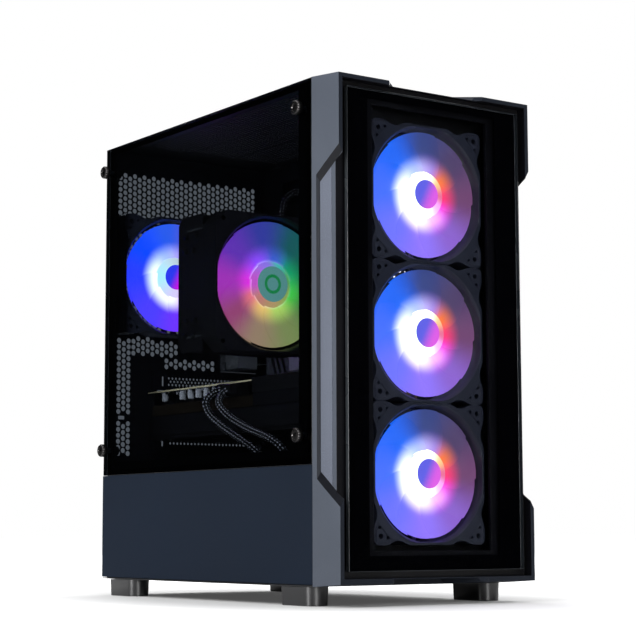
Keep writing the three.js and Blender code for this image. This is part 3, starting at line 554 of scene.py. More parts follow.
INNER_X = 99.6
HOLE = 2.6
GLASS_SCREW_Y = (55.2, 394.2)
GLASS_SCREW_Z = (141, 419.8)
REAR_SCREWS = [(95.5, 96), (95.5, 366)]
FAN_X, FAN_Z = -37, 317
COOLER_Z = 294.5
SLOT_Z = 213
SLOT_STEP = 20.32


def in_fan(u, v, radius):
    return math.hypot(u - FAN_X, v - FAN_Z) < radius


def rear_holes():
    """Vent holes of the rear wall."""
    centres = honeycomb((-88.5, 72), (376, 421.5))
    centres += honeycomb((-88.5, -77.5), (139, 255))
    centres += [c for c in honeycomb((-72, -22), (240.1, 255)) if not in_fan(*c, 64)]
    centres += honeycomb((-33.5, 22), (228.2, 236))
    kept = []
    for c in centres + [c for c in honeycomb((-92, 20), (262, 374)) if in_fan(*c, 55)]:
        if all(math.dist(c, other) > 5.2 for other in kept) and abs(c[1] - 174.6) > 5.5:
            kept.append(c)
    return [ring(c, HOLE, 10) for c in kept if c[1] < 424]


def rear_wall():
    s = Shape()
    slot_top = SLOT_Z + SLOT_STEP / 2
    openings = [rectangle((31, 75.2), (226, 385)), rectangle((-44, 70), (slot_top - 80, slot_top - 1.3)),
                rectangle((-63, 76), (25, 101)), rounded((-88.9, -81.5), (172.8, 176.4), 0.8)]
    openings += [ring(at, 2.4, 16) for at in REAR_SCREWS]
    openings += [ring((FAN_X + a, FAN_Z + b), 2.2, 12) for a in (-52.5, 52.5) for b in (-52.5, 52.5)]
    openings += rear_holes()
    s.plate("y", rectangle((-INNER_X, INNER_X), (17.3, 443.5)), openings, (REAR_Y - 1, REAR_Y))
    s.box((-INNER_X, -INNER_X + 1), (REAR_Y - 14, REAR_Y - 1), (31, 442.7))
    for z in GLASS_SCREW_Z:
        at = (GLASS_SCREW_Y[1], z)
        thread = ring(at, 2.3, 12)
        s.pierced("x", ring(at, 4.6, 24), [[(-99.8, thread), (-92, thread)]], (-98.6, -92))
    return s.piece("rear_wall", [CASE_BLACK], "chassis_rear")


def roof():
    """Roof with its vent field under the top filter."""
    openings = [rectangle((-46, 46), (46, 64))]
    openings += [ring(c, 1.95, 6) for c in honeycomb((-78, 79), (97, 367), 4.6, 5.2)]
    s = Shape().plate("z", rectangle((-INNER_X, INNER_X), (39.5, REAR_Y)), openings, (443.6, 444))
    return s.piece("roof_panel", [CASE_BLACK], "chassis_top")


def top_filter():
    """Cloth filter in a thin frame, lying on the roof."""
    x, y, z = (-84, 84), (92, 372), (444.3, 445.8)
    s = Shape()
    s.plate("z", rounded(x, y, 5), [rounded((x[0] + 7, x[1] - 7), (y[0] + 7, y[1] - 7), 3)], z)
    s.plate("z", rounded((x[0] + 6.5, x[1] - 6.5), (y[0] + 6.5, y[1] - 6.5), 3), [], (444.6, 445.1), 1)
    for across in (-26, 26):
        s.box((across - 1, across + 1), (y[0] + 6, y[1] - 6), (444.5, 445.5))
    return s.piece("top_filter_cloth", [PLASTIC, FILTER], "top_filter", bevel=0.25)


def supply_filter():
    x, y = (-58, 62), (262, 400)
    s = Shape()
    s.plate("z", rounded(x, y, 3), [rectangle((x[0] + 6, x[1] - 6), (y[0] + 6, 388))], (13.5, 15.7))
    s.box((x[0] + 5, x[1] - 5), (y[0] + 5, 389), (13.9, 14.5), 1)
    for k in range(1, 4):
        s.box((x[0] + 30 * k - 1, x[0] + 30 * k + 1), (y[0] + 5, 389), (13.7, 15.2))
    s.box((-18, 22), (396, 400), (11.5, 13.8))
    return s.piece("supply_filter_cloth", [PLASTIC, FILTER], "psu_filter", bevel=0.3)


# Picks each bezel face's finish: faces turned to the sides keep the plastic's own colour; the inside behind
# the front glass, the faces of the side hollows and the front, top and slanted faces get darker copies of it,
# which are painted shade.
def bezel_shade_ink(centre, normal):
    if abs(centre.x) < 100.5 and 22.5 < centre.z < 437 and centre.y > 0.3:
        return 1
    if abs(normal.x) > 0.9:
        return 0
    return 3 if abs(centre.x) > 100 and 60 < centre.z < 400 and normal.y > -0.9 else 2


def side_strips():
    """Textured strips in the hollows of the front panel's sides."""
    s = Shape()
    front, back, floor = 15.0, 31.2, SIDE_X - 3.5
    bottom = [(y, 87.6 + 0.7217 * y) for y in (front, back)]
    top = [(y, 372.6 - 0.642 * y) for y in (back, front)]
    outline = bottom + top
    s.prism("x", outline, (-floor - 0.7, -floor + 0.2))
    s.prism("x", outline, (floor - 0.2, floor + 0.7))
    return s.piece("front_side_strips", [BEZEL_STRIP], body="front_panel", bevel=0.3, slot="front_plastic")


# Faces across the pane take the clear tint; its edges take the grey painted highlight.
def glass_ink(axis):
    return lambda centre, normal: 0 if abs(normal[axis]) > 0.9 else 1


def prints():
    """Black printed borders on the backs of the two panes."""
    s = Shape()
    s.plate("x", rectangle((40, 399), (117, 443)), [rounded((52, 392), (122, 438), 2)], (-100.28, -100.1))
    s.piece("side_glass_print", [GLASS_PRINT], body="side_panel", slot="tinted_glass")
    s = Shape()
    s.plate("y", rectangle((-93.5, 93.5), (29, 430.5)), [rectangle((-70, 70), (41, 424))], (6.52, 6.7))
    s.piece("front_glass_print", [GLASS_PRINT], body="front_panel", slot="tinted_glass")


def knurled(radius, count, depth):
    outline = []
    for k in range(count * 2):
        r = radius if k % 2 == 0 else radius - depth
        a = math.pi * k / count
        outline.append((r * math.cos(a), r * math.sin(a)))
    return outline


def shifted(outline, centre):
    return [(u + centre[0], v + centre[1]) for u, v in outline]


def scaled(outline, factor):
    return [(u * factor, v * factor) for u, v in outline]


def turned_by(outline, angle):
    c, s = math.cos(angle), math.sin(angle)
    return [(u * c - v * s, u * s + v * c) for u, v in outline]


def cross(arm, width):
    w = width / 2
    return [(arm, -w), (arm, w), (w, w), (w, arm), (-w, arm), (-w, w), (-arm, w), (-arm, -w),
            (-w, -w), (-w, -arm), (w, -arm), (w, -w)]


def thumbscrew(name, node, axis, centre, head, radius, shank):
    """Knurled head with a dished face and a cross recess; head and shank run from outside inwards."""
    s = Shape()
    face, back = head
    near, tip = shank
    inward = 1 if back > face else -1
    grip = knurled(radius, 22, 0.45)
    steps = [(back, 0.93), (back - 0.5 * inward, 1), (face + 0.9 * inward, 1), (face, 0.88)]
    loops = [(w, shifted(scaled(grip, factor), centre)) for w, factor in steps]
    floor = face + 0.8 * inward
    deep = floor + 1.4 * inward
    dish = [(face, ring(centre, radius * 0.62, 28)), (floor, ring(centre, radius * 0.56, 28))]
    slot = shifted(cross(radius * 0.36, radius * 0.16), centre)
    s.loft(axis, loops, capped=False)
    flat, cells = tiled(loops[-1][1], [dish[0][1]])
    s.add([lift(axis, p[0], p[1], face) for p in flat], cells)
    s.loft(axis, dish, capped=False)
    flat, cells = tiled(dish[1][1], [slot])
    s.add([lift(axis, p[0], p[1], floor) for p in flat], cells)
    s.loft(axis, [(floor, slot), (deep, slot)], capped=False)
    s.add([lift(axis, u, v, deep) for u, v in slot], [tuple(range(len(slot)))])
    s.add([lift(axis, u, v, back) for u, v in loops[0][1]], [tuple(range(len(grip)))])
    s.turned(axis, centre, [(back, 0), (back, 3.4), (back + 1.2 * inward, 3.4)], sides=24)
    s.turned(axis, centre, [(near, 1.98), (tip, 1.7), (tip, 0)], sides=16)
    s.piece(name, [SCREW], node, centre=lift(axis, *centre, (face + back) / 2), smooth=40)


def foot(node):
    """Tapered foot, square behind and rounded in front."""
    low, high = ((corner - SHIFT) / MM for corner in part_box(node))
    nose = 9.8
    quarter = [math.pi / 2 * k / 12 for k in range(13)]
    s = Shape()
    loops = []
    for z, inset in ((0.0, 1.0), (0.5, 0.55), (15.7, 0.0)):
        x, y = (low.x + inset, high.x - inset), (low.y + inset, high.y - inset)
        outline = [(x[1], y[1]), (x[0], y[1])]
        outline += [(x[0] + nose - nose * math.cos(a), y[0] + nose - nose * math.sin(a)) for a in quarter]
        outline += [(x[1] - nose + nose * math.sin(a), y[0] + nose - nose * math.cos(a)) for a in quarter]
        loops.append((z, outline))
    s.loft("z", loops)
    s.piece(f"{node}_moulded", [FOOT], node, smooth=40)


def case():
    rear_wall()
    roof()
    top_filter()
    supply_filter()
    for node in ("chassis_base", "chassis_front", "motherboard_tray", "psu_shroud", "drive_cage"):
        refined(node, [CASE_BLACK], 0.2)
    refined("lower_side_panel", [STEEL], 0.45)
    refined("right_side_panel", [STEEL], 0.45)
    refined("front_bezel", [BEZEL, BEZEL_RECESS_SHADE, BEZEL_SLOPE_SHADE, BEZEL_HOLLOW_SHADE], 0.45, bezel_shade_ink, segments=3)
    side_strips()
    refined("front_glass", [FRONT_GLASS, GLASS_EDGE_HIGHLIGHT], 0.4, glass_ink(1), edge=1)
    refined("side_glass", [SIDE_GLASS, GLASS_EDGE_HIGHLIGHT], 0.4, glass_ink(0), edge=1)
    prints()
    glass_screws = [(y, z) for z in GLASS_SCREW_Z for y in GLASS_SCREW_Y]
    for k, at in enumerate(glass_screws, 1):
        thumbscrew(f"glass_thumbscrew_{k}", f"glass_screw_{k}", "x", at, (-111.4, -106.2), 6.2, (-106.3, -94))
    for k, at in enumerate(REAR_SCREWS, 1):
        thumbscrew(f"rear_thumbscrew_{k}", f"rear_screw_{k}", "y", at, (408.4, 401.3), 5.6, (401.4, 398.9))
    for row in ("front", "rear"):
        for side in ("left", "right"):
            foot(f"foot_{row}_{side}")


def slot_strips():
    """Slot covers with rows of small vent holes."""
    for k, z in ((1, SLOT_Z), (2, SLOT_Z - 3 * SLOT_STEP)):
        s = Shape()
        rows = (3.3, 0, -3.3) if k == 1 else (1.7, -1.7)
        start = -31.3
        holes = [ring((start + 4.2 * i + (2.1 if j % 2 else 0), z + dz), 1.25, 8)
                 for j, dz in enumerate(rows) for i in range(22)]
        holes.append(rounded((-39.6, -37.4), (z - 5, z + 5), 0.8))
        s.plate("y", rectangle((-50, 70), (z - 9.16, z + 9.16)), holes, (397.2, 398.2))
        s.piece(f"slot_strip_{k}", [CASE_BLACK], f"slot_cover_{k}")


# ---------------------------------------------------------------- fans


def eared_outline(half):
    """Fan frame with four ears, a waist beside each, and a flat in the middle of each side."""
    quarter = [(60, 0), (60, 22), (58.8, 26), (57, 30), (56.2, 34), (57, 38.5), (58.9, 43), (60, 47.5),
               (60, 54.5), (59.3, 57.4), (57.4, 59.3), (54.5, 60), (47.5, 60), (43, 58.9), (38.5, 57),
               (34, 56.2), (30, 57), (26, 58.8), (22, 60)]
    outline = []
    for turn in range(4):
        outline += scaled(turned_by(quarter, turn * math.pi / 2), half / 60)
    return outline


def chamfered_outline(half, corner):
    a = half - corner
    return [(half, -a), (half, a), (a, half), (-a, half), (-half, a), (-half, -a), (-a, -half), (a, -half)]


def clipped_ring(radius, limit, sides=72):
    loop = []
    for k in range(sides):
        a = 2 * math.pi * k / sides
        r = min(radius, limit / max(abs(math.cos(a)), abs(math.sin(a))))
        loop.append((r * math.cos(a), r * math.sin(a)))
    return loop


QUARTERS = [(a, b) for a in (-1, 1) for b in (-1, 1)]
FAN_DEPTH = 25
EAR_HOLES = [(53.8, 45.4), (45.4, 53.8)]
EAR_RIM = [(58.2, 58.2), (58.2, 47.2), (55.4, 41.6), (41.6, 55.4), (47.2, 58.2)]


def fan_bores(centre, size, duct, ears):
    """Duct with flared mouths, the four screw holes and the small holes in the ears."""
    x, y, z = centre
    flare = [(0, 3), (1.4, 1.6), (3.4, 0.5), (6, 0), (19, 0), (23, 0.8), (FAN_DEPTH, 2)]
    bores = [[(y + w, shifted(clipped_ring(duct + out, size / 2 - 2.1), (x, z))) for w, out in flare]]
    hole = size * 0.4375
    for a, b in QUARTERS:
        rings = [ring((a * hole, b * hole), 2.3, 16)]
        if ears:
            rings += [ring((a * u, b * v), 1.5, 12) for u, v in EAR_HOLES]
        for loop in rings:
            bores.append([(w, shifted(loop, (x, z))) for w in (y, y + FAN_DEPTH)])
    return bores


def fan_frame(name, node, centre, size, duct, hub, outline, ears):
    """Frame from its intake face back, with four arms that hold the hub."""
    s = Shape()
    x, y, z = centre
    s.pierced("y", shifted(outline, (x, z)), fan_bores(centre, size, duct, ears), (y, y + FAN_DEPTH))
    if ears:
        middle = 52.4
        inner = [(middle + (u - middle) * 0.84, middle + (v - middle) * 0.84) for u, v in EAR_RIM]
        for a, b in QUARTERS:
            rims = [shifted([(a * u, b * v) for u, v in loop], (x, z)) for loop in (EAR_RIM, inner)]
            s.plate("y", rims[0], [rims[1]], (y - 0.35, y + 0.05))
    s.turned("y", (x, z), [(y + 22.6, 0), (y + 22.6, hub), (y + 25, hub - 0.6), (y + 25, 0)])
    reach = duct + 0.5
    across = [(hub - 1, -2), (reach, -2), (reach, 2), (hub - 1, 2)]
    for k in range(4):
        s.prism("y", shifted(turned_by(across, math.pi / 2 * k), (x, z)), (y + 22.5, y + 24.9))
    # Eared frames take the grey with painted light; the cooler's frame keeps plain black plastic.
    return s.piece(name, [FAN_FRAME_LIT if ears else PLASTIC], node, centre=centre, bevel=0.3, smooth=30)


def blades(s, centre, hub, tip, count, front, back, lean, overlap, ink=0, thick=0.9, axis="y"):
    """Curved blades between w = front and w = back, each a closed thin shell."""
    cells = 8
    row = cells + 1
    shares = [i / cells for i in range(row)]
    rim = list(range(row)) + [i * row + cells for i in range(1, row)]
    rim += [cells * row + j for j in range(cells - 1, -1, -1)]
    rim += [i * row for i in range(cells - 1, 0, -1)]
    for b in range(count):
        grid = []
        for f in shares:
            r = hub - 0.8 + (tip - hub + 0.8) * f
            width = 2 * math.pi / count * (overlap[0] + (overlap[1] - overlap[0]) * f)
            for c in shares:
                a = 2 * math.pi * b / count + lean * f ** 1.4 + (c - 0.5) * width
                slope = (c - 0.5) * (back - front) * (1 - 0.2 * f)
                w = (front + back) / 2 + slope - math.sin(c * math.pi) * 1.1
                half = thick / 2 * (0.35 + 0.65 * min(c, 1 - c, 0.12) / 0.12)
                grid.append((centre[0] + r * math.cos(a), centre[1] + r * math.sin(a), w, half))
        upper = [lift(axis, u, v, w - half) for u, v, w, half in grid]
        lower = [lift(axis, u, v, w + half) for u, v, w, half in grid]
        n = len(grid)
        faces = []
        for k in (i * row + j for i in range(cells) for j in range(cells)):
            faces.append((k, k + 1, k + row + 1, k + row))
            faces.append((n + k, n + k + row, n + k + row + 1, n + k + 1))
        faces += [(p, q, n + q, n + p) for p, q in zip(rim, rim[1:] + rim[:1])]
        s.add(upper + lower, faces, ink)


def lit_rotor(name, node, centre, tip, hub, cap, nose, inks):
    """Rotor of a lit fan: domed hub, ring of light round it, nine wide blades."""
    x, y, z = centre
    s = Shape()
    back = 19.0
    s.turned("y", (x, z), [(y + back, 0), (y + back, hub - 1.5), (y + back - 1, hub), (y + nose + 4.4, hub),
                           (y + nose + 3.4, hub - 0.5), (y + nose + 1.0, cap + 1.8),
                           (y + nose + 0.5, cap + 0.6), (y + nose + 0.6, cap - 0.6)], 1, 64)
    s.turned("y", (x, z), [(y + nose + 0.5, 0), (y + nose + 0.5, cap), (y + nose + 0.2, cap + 0.25),
                           (y + nose, cap - 0.4), (y + nose, 2.4), (y + nose + 0.15, 1.8),
                           (y + nose + 0.15, 0)], 2, 48)
    blades(s, (x, z), hub, tip, 9, y + nose + 3.6, y + nose + 8.6, 0.42, (1.45, 1.36))
    return s.piece(name, inks, node, centre=centre, smooth=40)


def hub_glow(name, stops, strength, power):
    """Light guide round a hub: nearly white, with a coloured side."""
    p = Paint(name, Roughness=0.3)
    p.shader.inputs["Base Color"].default_value = (0.1, 0.1, 0.1, 1)
    turn = p.turn(p.axes())
    p.feed("Emission Color", p.ramp(turn, stops))
    p.feed("Emission Strength", p.math("MULTIPLY", p.ramp(turn, power), strength))
    p.bump(p.noise(300), 0.05)
    return p.material


def cap_glow(name, left, right, strength):
    """Hub cap, dimly lit from behind, changing colour across it."""
    p = Paint(name, Roughness=0.4)
    p.shader.inputs["Base Color"].default_value = (0.05, 0.05, 0.06, 1)
    axes = p.axes()
    slant = p.math("SUBTRACT", axes["X"], p.math("MULTIPLY", axes["Z"], 0.5))
    p.feed("Emission Color", p.mix(p.span(slant, -0.006, 0.010, 0, 1, True), left, right))
    p.shader.inputs["Emission Strength"].default_value = strength
    p.bump(p.noise(300), 0.05)
    return p.material


def banded_glow(name, plain, band, radii, strength):
    """Hub cap, dimly lit from behind, with a coloured ring in it."""
    p = Paint(name, Roughness=0.4)
    p.shader.inputs["Base Color"].default_value = (0.05, 0.05, 0.06, 1)
    middle, half = sum(radii) / 2 * MM, (radii[1] - radii[0]) / 2 * MM
    away = p.math("ABSOLUTE", p.math("SUBTRACT", p.radius(p.axes()), middle))
    p.feed("Emission Color", p.mix(p.span(away, half * 0.6, half * 1.3, 1, 0, True), plain, band))
    p.shader.inputs["Emission Strength"].default_value = strength
    p.bump(p.noise(300), 0.05)
    return p.material


HUB_FRONT = hub_glow("front_hub_light",
                     colours((0.0, 235, 252, 255), (0.25, 255, 245, 255), (0.4, 255, 170, 255),
                             (0.5, 255, 120, 160), (0.6, 255, 190, 130), (0.75, 255, 255, 250),
                             (1.0, 235, 252, 255)),
                     3.2, levels((0.0, 1.0), (0.25, 0.85), (0.5, 0.4), (0.75, 0.9), (1.0, 1.0)))
HUB_REAR = hub_glow("rear_hub_light",
                    colours((0.0, 190, 250, 255), (0.25, 250, 225, 255), (0.4, 255, 60, 255),
                            (0.6, 255, 180, 150), (0.75, 235, 250, 250), (1.0, 190, 250, 255)),
                    11.0, levels((0.0, 1.0), (0.25, 0.9), (0.4, 0.7), (0.6, 0.6), (1.0, 1.0)))
HUB_COOLER = hub_glow("cooler_hub_light",
                      colours((0.0, 245, 90, 225), (0.12, 250, 150, 130), (0.25, 240, 190, 120),
                              (0.4, 190, 215, 100), (0.55, 110, 205, 110), (0.68, 80, 220, 190),
                              (0.8, 170, 130, 250), (1.0, 245, 90, 225)),
                      8.0, levels((0.0, 0.9), (0.25, 0.75), (0.5, 0.7), (0.85, 1.0), (1.0, 0.9)))
CAP_FRONT = cap_glow("front_hub_cap", srgb(100, 100, 240), srgb(240, 95, 240), 1.3)
CAP_REAR = cap_glow("rear_hub_cap", srgb(50, 60, 240), srgb(235, 0, 225), 10.0)
CAP_COOLER = banded_glow("cooler_hub_cap", srgb(85, 140, 128), srgb(5, 125, 60), (6.2, 9.4), 10.0)


def fans():
    ears = eared_outline(60)
    for k, z in enumerate(FRONT_FAN_Z, 1):
        fan_frame(f"front_fan_housing_{k}", f"front_fan_frame_{k}", (0, 14.2, z), 120, 57.5, 20.6, ears, True)
        lit_rotor(f"front_fan_blades_{k}", f"front_fan_rotor_{k}", (0, 14.2, z), 54.8, 20.6, 12.4, 1.0,
                  [FRONT_LIT, HUB_FRONT, CAP_FRONT])
    at = (FAN_X, 373.2, FAN_Z)
    fan_frame("rear_fan_housing", "rear_fan_frame", at, 120, 57.5, 20.6, ears, True)
    lit_rotor("rear_fan_blades", "rear_fan_rotor", at, 54.8, 20.6, 12.4, 1.0, [REAR_LIT, HUB_REAR, CAP_REAR])
    at = (-19, 222, COOLER_Z)
    fan_frame("cooler_fan_housing", "cooler_fan_frame", at, 132, 62.8, 22.4, chamfered_outline(66, 13), False)
    lit_rotor("cooler_fan_blades", "cooler_fan_rotor", at, 60.2, 22.4, 16.8, 3.6,
              [COOLER_LIT, HUB_COOLER, CAP_COOLER])


# ---------------------------------------------------------------- cooler


def cooler():
    """Stack of thin fins on four looped heat pipes, with a flat cover facing the glass."""
    s = Shape()
    low, high, y0, y1 = COOLER_Z - 65, COOLER_Z + 65, 247.3, 291.0
    profile = [(y0, low), (y1 - 7, low), (y1, low + 7), (y1, high - 7), (y1 - 7, high), (y0, high)]
    inner = [(y0 + 0.6, low + 0.8), (y1 - 7.4, low + 0.8), (y1 - 0.8, low + 7.4), (y1 - 0.8, high - 7.4),
             (y1 - 7.4, high - 0.8), (y0 + 0.6, high - 0.8)]
    s.prism("x", profile, (-84, -82.6), 1)
    for k in range(48):
        x = -81.2 + 2.3 * k
        s.prism("x", inner, (x, x + 0.35))
    tips = [(275, 340.3), (259, 340.3), (277, 326), (262.5, 325.6), (275, 259), (259.5, 258.8),
            (277.5, 245), (262, 244.3)]
    for y, z in tips:
        s.turned("x", (y, z), [(-83, 0), (-83, 3), (-86.2, 2.6), (-87.2, 1.4), (-87.4, 0)], 1, 20)
        s.turned("x", (y, z), [(-82.7, 3), (44, 3)], 2, 16)
    for z in (-36, -12, 12, 36):
        bend = [(28, 269, 1), (44, 269, 1), (52, 268, 0.8), (58, 266, 0.55)]
        s.tube([(x, y, COOLER_Z + z * share) for x, y, share in bend], 3, 12, 2, 4)
    s.uvs = {}
    s.box((56, 70), (249.5, 288.5), (254, 335), 3)
    for y, z in ((252, 257), (286, 257), (252, 332), (286, 332)):
        s.turned("x", (y, z), [(50, 0), (50, 3.2), (56.5, 3.2), (56.5, 0)], 3, 16)
    for z in (low + 14, high - 14):
        s.box((-84.6, -83.9), (y0 - 22, y1 - 16), (z - 1, z + 1), 3)
    s.piece("cooler_fin_stack", [FIN, PLASTIC, BARE, GREY_FIN], "cooler_heatsink", smooth=35)


# ---------------------------------------------------------------- graphics card


CARD_EDGE = -57
CARD_Y = (96, 394)
CARD_FAN_X = 3
CARD_FAN_Y = (147, 245, 343)
VIDEO_X = (-24, -2, 20)


def small_parts(s, rng, count, x, y, size, face, up, inks):
    """Little boxes strewn over the top or the underside of a level board."""
    for _ in range(count):
        v, u = rng.uniform(*y), rng.uniform(*x)
        w, d, h = (rng.uniform(*limits) for limits in size)
        z = (face - 0.05, face + h) if up else (face - h, face + 0.05)
        s.box((u, u + w), (v, v + d), z, rng.choice(inks))


def card_board():
    """Circuit board with capacitors, small parts on both faces and the power socket."""
    s = Shape()
    low, high = 199.0, 200.5
    s.box((CARD_EDGE, 57), (204, 394), (low, high), 0)
    s.box((CARD_EDGE - 0.25, CARD_EDGE + 0.02), (204.2, 393.8), (low, high + 0.1), 1)
    s.box((56, 65.7), (264, 350), (199.2, 200.4), 2)
    can = [(190.6, 0), (190.6, 3.0), (190.2, 3.1), (190.6, 3.3), (198.6, 3.3), (199, 3.3)]
    for y in (370.5, 336.5, 321.2, 306.6, 292):
        s.turned("z", (CARD_EDGE + 6, y), can, 3, 20)
    rng = random.Random(7)
    below, above = [(1.0, 4.5), (1.0, 5.0), (0.8, 3.2)], [(0.8, 4), (0.8, 4), (0.4, 1.2)]
    small_parts(s, rng, 46, (CARD_EDGE + 1.5, CARD_EDGE + 20), (256, 388), below, low, False, [4, 4, 3, 5])
    small_parts(s, rng, 40, (CARD_EDGE + 1, 50), (210, 388), above, high, True, [4, 3, 5])
    s.box((CARD_EDGE, CARD_EDGE + 12), (226, 250), (187.5, 199.2), 4)
    s.piece("card_board", [BOARD, BOARD_EDGE, BRASS, PALE, CHIP, BARE], "gpu_board", bevel=0.12)


def card_cooler():
    """Shroud with three fan wells round a block of thin fins, and a plate past the board's end."""
    s = Shape()
    edge, (y0, y1) = CARD_EDGE, CARD_Y
    rims = [ring((CARD_FAN_X, y), 45.5, 48) for y in CARD_FAN_Y]
    wells = [[(152, rim), (176, rim)] for rim in rims]
    s.pierced("z", rounded((edge + 1.5, 54.5), (y0, y1), 5), wells, (152, 156))
    left = [(edge, 156), (edge + 4, 156), (edge + 4, 176), (edge + 2.5, 176), (edge, 171)]
    right = [(56, 156), (52, 156), (52, 176), (54, 176), (56, 172)]
    s.prism("y", left, (y0, y1 - 4))
    s.prism("y", right, (y0, y1 - 4))
    s.box((edge + 2, 54), (y0, y0 + 2), (154, 176))
    s.box((edge, 56), (y0, 203.7), (188.5, 202.3))
    s.box((edge + 0.6, 55), (y0 + 3, 203), (176, 188.6), 1)
    s.box((edge + 14, 54), (204, 225), (176, 198.6), 1)
    s.box((edge + 20, 54), (225, y1 - 15), (186, 198.6), 1)
    fin_y = y0 + 2
    while fin_y < y1 - 6:
        s.box((edge + 0.9, 53), (fin_y, fin_y + 0.45), (176.2, 186.4), 2)
        fin_y += 1.9
    s.box((edge + 2.2, 52.5), (y0 + 4, y1 - 5), (180.4, 181.4), 3)
    s.piece("card_cooler", [PLASTIC, GLOSS, WARM_FIN, FIN], "gpu_shroud", bevel=0.3)


def card_fans():
    hub = [(162.5, 0), (162.5, 15), (161.5, 16), (155, 16), (153.8, 14.6), (153.5, 12), (153.5, 0)]
    for k, y in enumerate(CARD_FAN_Y, 1):
        s = Shape().turned("z", (CARD_FAN_X, y), hub, 1, 40)
        blades(s, (CARD_FAN_X, y), 16, 43, 11, 154.0, 161.8, 0.5, (0.8, 0.86), 0, 0.9, "z")
        s.piece(f"card_fan_blades_{k}", [PLASTIC, GLOSS], f"gpu_fan_{k}",
                centre=(CARD_FAN_X, y, 158), smooth=40)


def card_bracket():
    """Plate at the rear wall with three video sockets and vent holes."""
    s = Shape()
    low, high = SLOT_Z - 2.5 * SLOT_STEP + 1, SLOT_Z - SLOT_STEP / 2 - 1
    holes = [rounded((x - 8, x + 8), (187.6, 193.4), 1) for x in VIDEO_X]
    vents = [(-40 + 4.4 * i + (2.2 if j % 2 else 0), 168 + 3.8 * j) for i in range(22) for j in range(4)]
    holes += [ring(vent, 1.5, 6) for vent in vents]
    s.plate("y", rectangle((-50, 62), (low, high)), holes, (394.3, 395.3))
    for x in VIDEO_X:
        mouth = rounded((x - 7.6, x + 7.6), (188.0, 193.0), 1)
        s.plate("y", rounded((x - 8.6, x + 8.6), (187.0, 194.0), 1.2), [mouth], (384, 394.2), 0)
        s.box((x - 5.5, x + 5.5), (385, 392), (189.9, 191.1), 1)
        s.box((x - 8, x + 8), (383.5, 384.5), (187.4, 193.6), 1)
    s.piece("card_bracket", [BARE, CHIP], "gpu_bracket", bevel=0.12)


# ---------------------------------------------------------------- main board


BOARD_FACE = 75.0
MEMORY_Y = (196, 205)


def main_board():
    """Board with its processor socket, slots, plugs, chips, coils and screws."""
    s = Shape()
    face = BOARD_FACE
    s.box((face, 76.6), (154.5, 397.4), (141, 385), 0)
    s.box((70.3, face), (248, 296), (266.5, 322.5), 5)
    s.box((66, face), (262, 352), (197, 205), 1)
    s.box((66.4, face), (264, 350), (200.4, 201.6), 4)
    s.box((67, face), (262, 352), (176, 183), 1)
    for y in MEMORY_Y:
        s.box((70, face), (y - 3, y + 3), (224, 365), 1)
    s.box((63, face), (158, 168), (290, 342), 1)
    s.box((63, face), (331, 349), (372, 384), 1)
    rng = random.Random(3)
    for _ in range(130):
        y, z = rng.uniform(158, 392), rng.uniform(146, 380)
        w, d = rng.uniform(1.2, 6), rng.uniform(1.2, 6)
        s.box((face - rng.uniform(0.8, 2.2), face), (y, y + w), (z, z + d), rng.choice([1, 1, 1, 4, 3]))
    for k in range(9):
        z = 262 + 10.5 * k
        s.turned("x", (312 + (k % 2) * 9, z), [(face, 3.4), (68.4, 3.4), (67.9, 2.8), (67.9, 0)], 3, 20)
        s.box((69.5, face), (326, 334), (z + 1, z + 8), 1)
    for y, z in ((176, 176), (186, 188), (176, 200)):
        s.turned("x", (y, z), [(face, 4), (66, 4), (65.4, 3.4), (65.4, 0)], 1, 20)
    s.turned("x", (232, 214), [(face, 10), (72.6, 10), (72.2, 9.4), (72.2, 0)], 4, 32)
    s.prism("x", [(178, 150), (226, 150), (226, 172), (214, 184), (178, 184)], (67.5, face), 2)
    for y in (162, 246, 390):
        for z in (148, 262, 378):
            s.turned("x", (y, z), [(face, 3.6), (73.4, 3.4), (72.8, 2.4), (72.8, 0)], 4, 16)
    s.piece("main_board_parts", [BOARD, CHIP, GREY_FIN, PALE, BARE, PLASTIC], "motherboard", bevel=0.2)


def memory():
    """Memory sticks, each a board between two shaped heat spreaders."""
    outline = [(66, 228), (69.7, 228), (69.7, 361), (66, 361), (40, 361), (38, 356), (38, 330), (41, 325),
               (41, 264), (38, 259), (38, 233), (40, 228)]
    for k, y in enumerate(MEMORY_Y, 1):
        s = Shape()
        s.prism("y", outline, (y - 2.4, y - 0.7), 1)
        s.prism("y", outline, (y + 0.7, y + 2.4), 1)
        s.box((60, 69.7), (y - 0.7, y + 0.7), (229, 360), 0)
        for j in range(9):
            z = 234 + 13.8 * j
            s.box((44, 64), (y - 2.6, y - 2.3), (z, z + 9), 1)
        s.piece(f"memory_stick_{k}", [BOARD, GREY_FIN], f"memory_{k}", bevel=0.25)


def board_heatsinks():
    """Finned block by the processor, and a flat cover over the drive."""
    s = Shape()
    for k in range(16):
        z = 262 + 5.9 * k
        s.box((44, 66), (340, 368), (z, z + 3.6))
    s.box((64, 74.7), (340, 368), (262, 356))
    s.piece("power_stage_heatsink", [GREY_FIN], "vrm_heatsink", bevel=0.5)

    s = Shape()
    s.box((67, 74.7), (298, 366), (222, 242))
    for k in range(3):
        y = 329 + 9 * k
        s.prism("x", [(y, 222.4), (y + 4, 222.4), (y + 12, 241.6), (y + 8, 241.6)], (66.6, 67.2), 1)
    s.box((66.5, 67.2), (301, 324), (223.5, 240), 2)
    s.piece("drive_heatsink", [GREY_PAINT, CHIP, PALE], "storage_heatsink", bevel=0.25)


